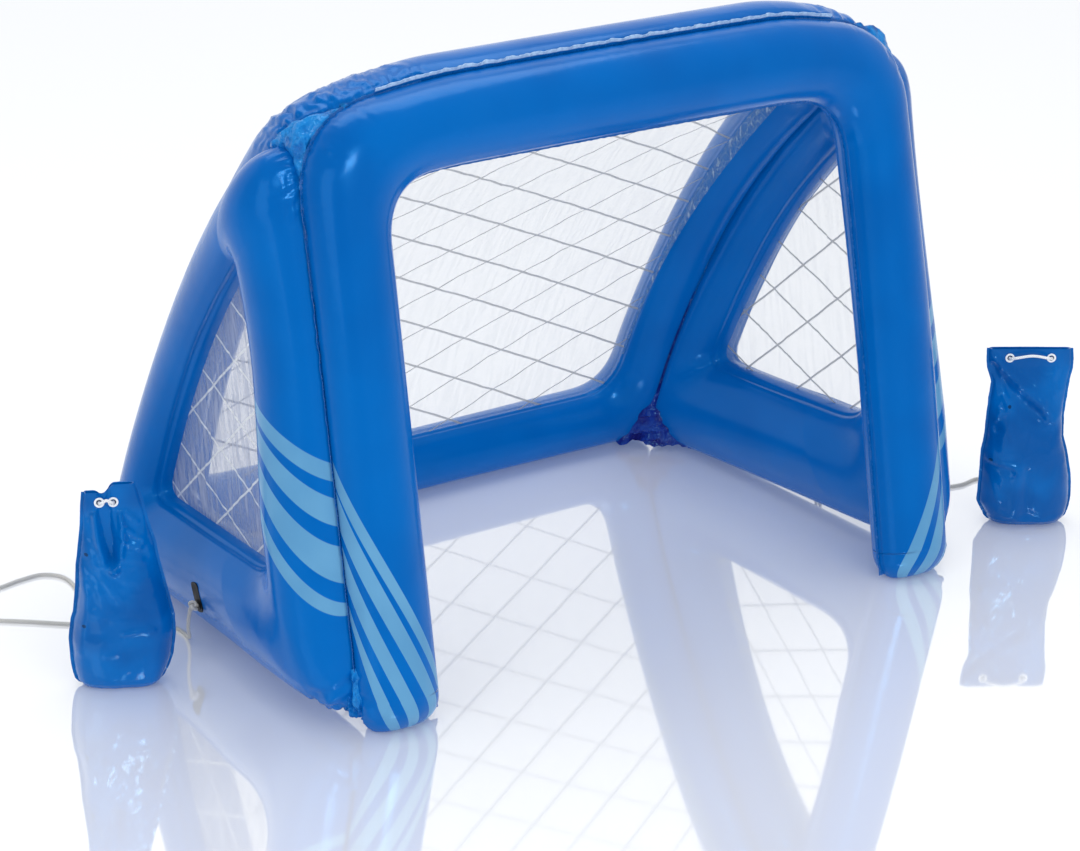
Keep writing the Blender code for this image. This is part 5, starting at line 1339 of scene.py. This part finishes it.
# Each bag: its place, turn, gathered neck, lean, grommet spacing, and its folds as (points (x, z), width, depth, wall)
BAGS = {
    "left": ((-0.8390, -0.0305), -26.0, 0.53, -0.024, 0.022, (
        (((-0.026, 0.336), (-0.024, 0.300), (-0.020, 0.262), (-0.014, 0.226)), 0.0075, -0.019, -1),
        (((-0.041, 0.300), (-0.038, 0.262), (-0.026, 0.222), (-0.014, 0.212)), 0.0065, 0.0055, -1),
        (((0.000, 0.300), (0.003, 0.262), (-0.003, 0.232), (-0.012, 0.214)), 0.0065, 0.0055, -1),
        (((0.004, 0.284), (0.022, 0.266), (0.036, 0.256)), 0.0048, 0.0030, -1),
        (((-0.002, 0.268), (0.014, 0.252), (0.030, 0.246)), 0.0045, 0.0022, -1),
        (((0.010, 0.303), (0.026, 0.288)), 0.0050, 0.0026, -1),
        (((-0.070, 0.215), (-0.058, 0.170), (-0.066, 0.120), (-0.072, 0.070)), 0.0085, 0.0050, -1),
        (((-0.078, 0.190), (-0.070, 0.165), (-0.076, 0.140)), 0.0060, -0.0040, -1),
        (((0.000, 0.104), (0.024, 0.108), (0.046, 0.106)), 0.0050, 0.0020, -1),
        (((-0.030, 0.066), (-0.014, 0.070)), 0.0045, 0.0016, -1),
        (((0.044, 0.300), (0.060, 0.200), (0.075, 0.100)), 0.0120, 0.0030, -1),
        (((-0.024, 0.336), (-0.030, 0.280), (-0.020, 0.220), (0.000, 0.160)), 0.0120, -0.0090, 1),
        (((0.030, 0.280), (0.010, 0.210), (0.030, 0.120)), 0.0100, 0.0040, 1))),
    "right": ((0.8800, -0.3395), -32.0, 1.0, -0.016, 0.076, (
        (((-0.084, 0.306), (-0.052, 0.262), (-0.020, 0.232), (0.004, 0.214)), 0.0110, -0.0055, -1),
        (((-0.078, 0.316), (-0.034, 0.276), (0.010, 0.240), (0.036, 0.214)), 0.0120, 0.0050, -1),
        (((-0.070, 0.300), (-0.060, 0.262), (-0.050, 0.228)), 0.0050, 0.0024, -1),
        (((-0.066, 0.222), (-0.078, 0.196), (-0.080, 0.158), (-0.076, 0.132)), 0.0065, 0.0050, -1),
        (((-0.086, 0.214), (-0.070, 0.190)), 0.0070, -0.0050, -1),
        (((-0.086, 0.132), (-0.060, 0.124), (-0.034, 0.120)), 0.0042, 0.0022, -1),
        (((-0.086, 0.122), (-0.060, 0.114), (-0.036, 0.111)), 0.0060, -0.0022, -1),
        (((-0.078, 0.104), (-0.070, 0.076), (-0.062, 0.056)), 0.0060, 0.0030, -1),
        (((-0.030, 0.112), (-0.028, 0.030)), 0.0100, 0.0022, -1),
        (((-0.010, 0.112), (-0.006, 0.030)), 0.0090, -0.0026, -1),
        (((0.072, 0.282), (0.061, 0.262), (0.064, 0.236), (0.078, 0.222)), 0.0055, 0.0060, -1),
        (((0.084, 0.270), (0.074, 0.250), (0.084, 0.230)), 0.0080, -0.0080, -1),
        (((0.060, 0.168), (0.066, 0.150), (0.064, 0.128)), 0.0060, 0.0034, -1),
        (((0.034, 0.300), (0.026, 0.278), (0.034, 0.256)), 0.0080, 0.0020, -1),
        (((-0.060, 0.030), (-0.020, 0.016), (0.030, 0.012), (0.070, 0.022)), 0.0060, 0.0018, -1),
        (((-0.060, 0.290), (0.000, 0.240), (0.060, 0.210)), 0.0120, -0.0050, 1),
        (((0.050, 0.270), (0.020, 0.180), (0.040, 0.090)), 0.0110, 0.0040, 1))),
}
# How far each side of a bag stands off its plain taper: (share of the height, left side, right side)
BAG_OUTLINES = {
    "left": ((0.0, 0.006, -0.018), (0.04, 0.005, -0.016), (0.136, 0.003, -0.006), (0.25, 0.002, 0.0),
             (0.39, 0.008, 0.002), (0.52, 0.006, 0.004), (0.63, 0.003, 0.006), (0.73, 0.004, 0.010),
             (0.88, 0.009, 0.007), (1.0, 0.012, 0.003)),
    "right": ((0.0, 0.008, -0.008), (0.05, 0.006, -0.006), (0.12, -0.004, -0.004), (0.18, -0.003, -0.004),
              (0.27, -0.002, -0.006), (0.41, -0.003, -0.013), (0.50, 0.001, -0.020), (0.62, 0.002, -0.018),
              (0.72, 0.004, -0.012), (0.81, 0.010, -0.009), (0.89, 0.006, -0.006), (1.0, 0.009, -0.008)),
}
# Two drain holes in each bag's front wall, painted as dark discs of shade: (across, up) from the middle of its foot
DRAIN_HOLES = {"left": ((-0.056, 0.236), (-0.063, 0.118)), "right": ((-0.049, 0.233), (-0.076, 0.130))}
DRAIN_RADII = (0.0036, 0.0027)      # where a hole's soft edge begins and where it is dark


def bag_vinyl(name, base, holes):
    """The bags' thinner glossy vinyl: soft facets, fine grain, a faint painted glow, and the drain holes in the front
    wall as dark discs of painted shade.
    """
    # the emission is a painted glow that keeps the bag's shaded sides bright
    paint = Finish(name, IOR=1.5, Specular_IOR_Level=0.45, Specular_Tint=(0.15, 0.6, 1.0, 1.0), Coat_Weight=0.17,
                   Coat_Roughness=0.06, Emission_Color=(*BLUE[:3], 1.0), Emission_Strength=0.27)
    place = paint.add("TexCoord", out=3)
    cloudy = paint.noise(place, 9.0, 2.0)
    facet = paint.noise(paint.stretched(place, (1.0, 1.0, 0.6)), 26.0, 2.0, 0.4)
    colour = paint.mix(paint.ramp(cloudy, 0.35, 0.62), rgb(0, 86, 158), rgb(0, 64, 132))
    origin, turned = base.translation, base.to_3x3()
    from_base = paint.add("VectorMath", {0: place, 1: origin}, operation="SUBTRACT")
    aside, depth, up = (paint.add("VectorMath", {0: from_base, 1: turned.col[k]}, out=1, operation="DOT_PRODUCT")
                        for k in range(3))
    # each drain hole is painted: a dark disc stands for the shade inside it
    front = paint.math("LESS_THAN", depth, 0.0)
    for x, z in holes:
        wide, high = paint.math("SUBTRACT", aside, x), paint.math("SUBTRACT", up, z)
        away = paint.math("ADD", paint.math("POWER", wide, 2.0), paint.math("POWER", high, 2.0))
        hole = paint.math("MULTIPLY", paint.ramp(away, *np.square(DRAIN_RADII).tolist()), front)
        colour = paint.mix(hole, colour, rgb(6, 16, 48))
    gloss = paint.ramp(cloudy, 0.25, 0.75, 0.13, 0.24)
    soft = paint.bump(facet, 0.007, 0.6)
    paint.set(paint.shader, {"Base Color": colour, "Roughness": gloss,
                             "Normal": paint.bump(paint.noise(place, 1000.0, 1.0), 0.0001, 0.3, soft)})
    return paint.material


def fold_depth(x, z, wall, folds):
    """How far the cloth of one wall stands out at each place, from the folds drawn on it."""
    total = np.zeros_like(x)
    for points, width, depth, which in folds:
        line = np.array(points)
        starts, steps = line[:-1], np.diff(line, axis=0)
        spots = np.stack([x, z], axis=-1)[..., None, :]
        share = np.clip(np.sum((spots - starts) * steps, axis=-1) / np.sum(steps ** 2, axis=-1), 0, 1)
        away = np.linalg.norm(starts + share[..., None] * steps - spots, axis=-1)
        nearest = away.argmin(axis=-1)
        reached = (nearest + np.take_along_axis(share, nearest[..., None], -1)[..., 0]) / len(steps)
        spread = width * (0.75 + 0.5 * reached)
        total += np.where(wall == which, FOLD_RELIEF * depth * np.exp(-(away.min(axis=-1) / spread) ** 2), 0.0)
    return total


def filled_bag(neck, lean, spread, folds, outline, ears, seed):
    """A bag's shell in its own frame: two walls seamed at the sides, closed round at the floor, open at the top."""
    shares = np.concatenate([np.linspace(0, 0.06, 12, endpoint=False), np.linspace(0.06, 1.0, 118)])
    width = np.interp(shares, BAG_ROWS[:, 0], BAG_ROWS[:, 1])
    thick = np.interp(shares, BAG_ROWS[:, 0], BAG_ROWS[:, 2])
    soft = np.ones(9) / 9
    width[12:] = np.convolve(np.pad(width, 4, "edge"), soft, "valid")[12:]
    thick[12:] = np.convolve(np.pad(thick, 4, "edge"), soft, "valid")[12:]
    drawn_in = 1 - (1 - neck) * np.maximum(shares - 0.35, 0.0) / 0.65
    half_x = (BAG_WIDTH / 2 * width * drawn_in)[:, None]
    half_y = (np.maximum(BAG_THICKNESS * thick, COLLAR_THICKNESS) / 2)[:, None]
    t = np.linspace(-1, 1, 74)
    t = np.sign(t) * (1 - (1 - np.abs(t)) ** 1.25)
    across = np.sign(t) * np.abs(t) ** 0.98
    full = (1 - np.abs(across) ** 3.1) ** 0.62
    flat = np.clip((shares - 0.86) / 0.1, 0, 1)[:, None]
    bulge = full * (1 - flat) + (1 - np.abs(across) ** 14) ** 0.5 * flat
    aside = (lean * shares ** 2)[:, None]
    off_left, off_right = (np.interp(shares, outline[:, 0], outline[:, k])[:, None] for k in (1, 2))
    x = half_x * across + aside + np.where(across < 0, off_left, off_right) * np.abs(across) ** 3
    ear, dip = ears
    z = BAG_HEIGHT * shares[:, None] + ear * ease(across, -0.2, 0.35) * ease(shares, 0.86, 1.0)[:, None]
    z = z - dip * np.exp(-(across / 0.22) ** 2) * ease(shares, 0.93, 1.0)[:, None]
    shells = []
    for wall in (-1, 1):
        wrinkle = crumple(np.stack([x, z * 0.7], axis=-1), seed + wall, 0.060, 8)
        fine = crumple(np.stack([x, z], axis=-1), seed + 7 + wall, 0.022, 6)
        loose = np.clip(1.4 * shares, 0.25, 1)[:, None] * (1 - flat * 0.8)
        stand = half_y * bulge + bulge * (0.0044 * wrinkle * loose + 0.0012 * fine * loose)
        stand = stand + bulge * fold_depth(x, z, wall, folds)
        # the collar stays flat under the grommets' rims
        for grommet in (-spread / 2, spread / 2):
            off = np.hypot(x - aside[-1] - grommet, z - (BAG_HEIGHT - GROMMET_DROP))
            hold = ease(off, 0.0088, 0.0135)
            stand = stand * hold + COLLAR_THICKNESS / 2 * (1 - hold)
        stand = np.where(stand < 0.0006, 0.0006, stand)
        shells.append(np.stack([x, wall * stand, z], axis=-1))
    return shells


def bag_shell(name, shells, base):
    """One closed mesh from a bag's two walls: side seams, the collar's open top with its inner faces, and the foot."""
    front, back = shells
    bm = bmesh.new()
    loops = []
    for r in range(len(front)):
        seam = []
        for end, way in ((front[r, -1], 1), (front[r, 0], -1)):
            wave = 0.0006 * math.sin(r * 0.7 + way) + 0.0004 * math.sin(r * 1.9)
            tip = np.array([end[0] + way * SIDE_SEAM * (0.4 if r < 3 else 1.0), wave, end[2]])
            seam.append((tip + (0, -0.0004, 0), tip + (0, 0.0004, 0)))
        ring = list(front[r]) + list(seam[0]) + list(back[r][::-1]) + list(seam[1][::-1])
        loops.append([bm.verts.new(p) for p in ring])
    # the open top: a rolled edge, then the two walls' inner faces down to where they lie together
    top = np.array([v.co for v in loops[-1]])
    middle = top.mean(axis=0)
    for drop, narrow in ((0.0004, 0.80), (0.004, 0.72), (0.012, 0.60), (0.022, 0.34), (0.030, 0.08)):
        ring = top.copy()
        ring[:, 1] = top[:, 1] * narrow
        ring[:, 0] = middle[0] + (top[:, 0] - middle[0]) * (0.955 - 0.4 * drop)
        ring[:, 2] -= drop
        loops.append([bm.verts.new(p) for p in ring])
    for near, far in zip(loops, loops[1:]):
        strip(bm, near, far)
    foot = [v.co.copy() for v in loops[0]]
    centre = sum(foot, Vector()) / len(foot)
    inner = loops[0]
    for share in (0.9, 0.6, 0.25):
        ring = [bm.verts.new(centre + (p - centre) * share) for p in foot]
        strip(bm, inner[::-1], ring[::-1])
        inner = ring
    bm.faces.new(inner)
    bm.faces.new(loops[-1])
    for vert in bm.verts:
        vert.co.z = max(vert.co.z, 0.0)
    bmesh.ops.transform(bm, matrix=base, verts=bm.verts)
    return closed(bm, name)


# Grommets: white plastic eyelets pressed through both walls of a collar: a rounded rim outside, a dished throat and
# a barrel within. All eight are alike, so one node tree turns them.
def grommet_tree(segments):
    """The node tree that makes a grommet from its sizes, and its inputs' identifiers by their names."""
    tree = bpy.data.node_groups.new("grommet", "GeometryNodeTree")
    tree.interface.new_socket("Grommet", in_out="OUTPUT", socket_type="NodeSocketGeometry")
    named = {}
    for label, size in (("Bore radius", 0.0031), ("Throat radius", 0.0052), ("Barrel radius", 0.0058),
                        ("Rim radius", 0.0085), ("Rim thickness", 0.0014), ("Throat thickness", 0.0008),
                        ("Barrel length", 0.0050)):
        named[label] = tree.interface.new_socket(label, in_out="INPUT", socket_type="NodeSocketFloat")
        named[label].default_value = size
    named["Plastic"] = tree.interface.new_socket("Plastic", in_out="INPUT", socket_type="NodeSocketMaterial")
    given = tree.nodes.new("NodeGroupInput").outputs

    def step(kind, inputs, **settings):
        node = tree.nodes.new(kind)
        for key, value in settings.items():
            setattr(node, key, value)
        for key, value in inputs.items():
            if isinstance(value, bpy.types.NodeSocket):
                tree.links.new(value, node.inputs[key])
            else:
                node.inputs[key].default_value = value
        return node.outputs[0]

    def ring(inner, outer, thickness, low):
        """A rounded band between two radii, its underside at this height."""
        middle = step("ShaderNodeMath", {0: step("ShaderNodeMath", {0: inner, 1: outer}), 1: 0.5}, operation="MULTIPLY")
        width = step("ShaderNodeMath", {0: outer, 1: inner}, operation="SUBTRACT")
        narrow = step("ShaderNodeMath", {0: width, 1: thickness}, operation="MINIMUM")
        round_off = step("ShaderNodeMath", {0: narrow, 1: 0.42}, operation="MULTIPLY")
        path = step("GeometryNodeCurvePrimitiveCircle", {"Resolution": segments, "Radius": middle})
        band = step("GeometryNodeCurvePrimitiveQuadrilateral", {"Width": width, "Height": thickness})
        band = step("GeometryNodeFilletCurve", {"Curve": band, "Count": 4, "Radius": round_off}, mode="POLY")
        mesh = step("GeometryNodeCurveToMesh", {"Curve": path, "Profile Curve": band})
        half = step("ShaderNodeMath", {0: thickness, 1: 0.5, 2: low}, operation="MULTIPLY_ADD")
        lifted = step("ShaderNodeCombineXYZ", {"Z": half})
        return step("GeometryNodeTransform", {"Geometry": mesh, "Translation": lifted})

    sunk = step("ShaderNodeMath", {0: given["Barrel length"], 1: -1.0, 2: 0.0004}, operation="MULTIPLY_ADD")
    bands = [ring(given["Throat radius"], given["Rim radius"], given["Rim thickness"], 0.0003),
             ring(given["Bore radius"], given["Barrel radius"], given["Throat thickness"], 0.0001),
             ring(given["Bore radius"], given["Barrel radius"], given["Barrel length"], sunk)]
    joined = tree.nodes.new("GeometryNodeJoinGeometry")
    for band in bands:
        tree.links.new(band, joined.inputs[0])
    whole = step("GeometryNodeRealizeInstances", {"Geometry": joined.outputs[0]})
    whole = step("GeometryNodeSetMaterial", {"Geometry": whole, "Material": given["Plastic"]})
    tree.links.new(whole, tree.nodes.new("NodeGroupOutput").inputs[0])
    return tree, {label: socket.identifier for label, socket in named.items()}


def grown(tree, settings):
    """The plain mesh that a node tree makes, with these sizes set by their sockets' identifiers."""
    holder = bpy.data.objects.new(tree.name, bpy.data.meshes.new(tree.name))
    bpy.context.scene.collection.objects.link(holder)
    nodes = holder.modifiers.new(tree.name, "NODES")
    nodes.node_group = tree
    for identifier, value in settings.items():
        nodes[identifier] = value
    bpy.context.view_layer.update()
    mesh = bpy.data.meshes.new_from_object(holder.evaluated_get(bpy.context.evaluated_depsgraph_get()))
    holder.modifiers.remove(nodes)
    bpy.data.objects.remove(holder)
    return mesh


def white_moulding():
    """White plastic, with painted shade in the bore."""
    plastic = Finish("grommet_plastic", Roughness=0.3, IOR=1.49)
    place = plastic.add("TexCoord", out=3)
    haze = plastic.noise(place, 300.0, 3.0)
    rim = plastic.mix(haze, rgb(218, 223, 230), rgb(240, 243, 246))
    bore = plastic.add("Attribute", out=2, attribute_name="radius")
    # the bore's dark ring is painted shade, from each point's distance to the axis
    plastic.set(plastic.shader, {"Base Color": plastic.mix(plastic.ramp(bore, 0.0045, 0.0052), rgb(40, 48, 66), rim),
                                 "Roughness": plastic.ramp(haze, 0.2, 0.8, 0.22, 0.4),
                                 "Normal": plastic.bump(haze, 0.0002, 0.3)})
    return plastic.material


grommet_plastic = white_moulding()
grommet_nodes, sockets = grommet_tree(32)
grommet_mesh = grown(grommet_nodes, {sockets["Rim radius"]: 0.0085, sockets["Rim thickness"]: 0.0014,
                                     sockets["Plastic"]: grommet_plastic})
for name, (place, turned_by, neck, lean, spread, folds) in BAGS.items():
    base = Matrix.Translation((*place, 0.0)) @ Matrix.Rotation(math.radians(turned_by), 4, "Z")
    walls = filled_bag(neck, lean, spread, folds, np.array(BAG_OUTLINES[name]), EARS[name], CRUMPLE_SEEDS[name])
    finish = bag_vinyl(f"{name}_bag_vinyl", base, DRAIN_HOLES[name])
    bag = piece(f"{name}_bag_shell", bag_shell(f"{name}_bag", walls, base), finish,
                replaces=[f"{name}_anchor_bag"])
    height = BAG_HEIGHT - GROMMET_DROP
    middle = lean * (height / BAG_HEIGHT) ** 2
    for number, aside in enumerate((middle - spread / 2, middle + spread / 2), 1):
        for wall, tip, y in (("front", 90, -COLLAR_THICKNESS / 2), ("back", -90, COLLAR_THICKNESS / 2)):
            bm = bmesh.new()
            bm.from_mesh(grommet_mesh)
            radius = bm.verts.layers.float.new("radius")
            for vert in bm.verts:
                vert[radius] = vert.co.xy.length
            bmesh.ops.transform(bm, verts=bm.verts, matrix=base @ Matrix.Translation((aside, y, height))
                                @ Matrix.Rotation(math.radians(tip), 4, "X"))
            node = f"{name}_{wall}_grommet_{number}"
            piece(node + "_ring", closed(bm, "grommet"), grommet_plastic, replaces=[node])


# Floor and light: a pale polished floor in a bright white room, with long soft boxes above, at the side and in front.
# They only stage the part, and the camera doesn't see the lights.
floor = bpy.data.objects.new("floor", bpy.data.meshes.new("floor"))
bpy.context.scene.collection.objects.link(floor)
bm = bmesh.new()
bmesh.ops.create_circle(bm, cap_ends=True, segments=96, radius=14.0, matrix=Matrix.Translation((0, 0, -0.0004)))
bm.to_mesh(floor.data)
bm.free()
polish = Finish("floor", Base_Color=(0.93, 0.935, 0.95, 1.0), Roughness=0.04, IOR=1.5, Metallic=0.40,
                Emission_Color=(0.96, 0.98, 1.0, 1.0), Emission_Strength=0.08)
floor.data.materials.append(polish.material)
floor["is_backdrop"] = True

# A white wall far behind, seen only as the brightness that the floor mirrors.
wall = bpy.data.objects.new("white_wall", bpy.data.meshes.new("white_wall"))
bpy.context.scene.collection.objects.link(wall)
bm = bmesh.new()
bmesh.ops.create_grid(bm, x_segments=1, y_segments=1, size=1.0, matrix=Matrix.Translation((0, 7.0, 5.5))
                      @ Matrix.Rotation(math.radians(90), 4, "X") @ Matrix.Diagonal((14.0, 6.0, 1.0, 1.0)))
bm.to_mesh(wall.data)
bm.free()
wall.data.materials.append(Finish("white_wall", Base_Color=(0, 0, 0, 1), Specular_IOR_Level=0.0,
                                  Emission_Color=(0.97, 0.985, 1.0, 1.0), Emission_Strength=1.0).material)
wall.visible_camera = wall.visible_diffuse = wall.visible_shadow = False
wall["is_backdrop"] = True


def soft_box(name, place, aim, size, power):
    """A rectangular light at a place, aimed at a point, that the camera doesn't see."""
    light = bpy.data.lights.new(name, "AREA")
    light.shape = "RECTANGLE"
    light.size, light.size_y = size
    light.energy = power
    obj = bpy.data.objects.new(name, light)
    obj.location = place
    obj.rotation_euler = (Vector(aim) - Vector(place)).to_track_quat("-Z", "Y").to_euler()
    obj.visible_camera = False
    bpy.context.scene.collection.objects.link(obj)
    return obj


soft_box("overhead", (0.3, 0.6, 3.6), (0, 0, 0.3), (3.2, 1.6), power=48)
soft_box("left_fill", (-3.4, -1.6, 1.6), (0.1, 0, 0.4), (1.6, 2.4), power=22)
front_fill = soft_box("front_fill", (-0.2, -4.3, 1.3), (0.2, 0, 0.35), (3.4, 2.2), power=60)
front_fill.visible_glossy = False           # it only lifts the shade, and draws no streaks on the tubes
glint = soft_box("glint", (-1.3, -2.9, 2.7), (0.1, 0, 0.5), (1.0, 0.7), power=42)
glint.visible_diffuse = False               # it only draws the small lights on corners and creases

# The room: white behind the goal, a softer white for its light, and dimmer still in its reflections.
world = bpy.data.worlds.new("white room")
bpy.context.scene.world = world
world.use_nodes = True
tree = world.node_tree
ray = tree.nodes.new("ShaderNodeLightPath")


def white_light(strength):
    """The room's white at a strength."""
    white = tree.nodes.new("ShaderNodeBackground")
    white.inputs["Color"].default_value = (0.97, 0.985, 1.0, 1.0)
    white.inputs["Strength"].default_value = strength
    return white.outputs[0]


mixed = white_light(0.80)
for socket, strength in (("Is Glossy Ray", 0.45), ("Is Camera Ray", 1.0)):
    blend = tree.nodes.new("ShaderNodeMixShader")
    tree.links.new(ray.outputs[socket], blend.inputs[0])
    tree.links.new(mixed, blend.inputs[1])
    tree.links.new(white_light(strength), blend.inputs[2])
    mixed = blend.outputs[0]
tree.links.new(mixed, tree.nodes["World Output"].inputs["Surface"])
bpy.context.scene.view_settings.view_transform = "Standard"

low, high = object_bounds()
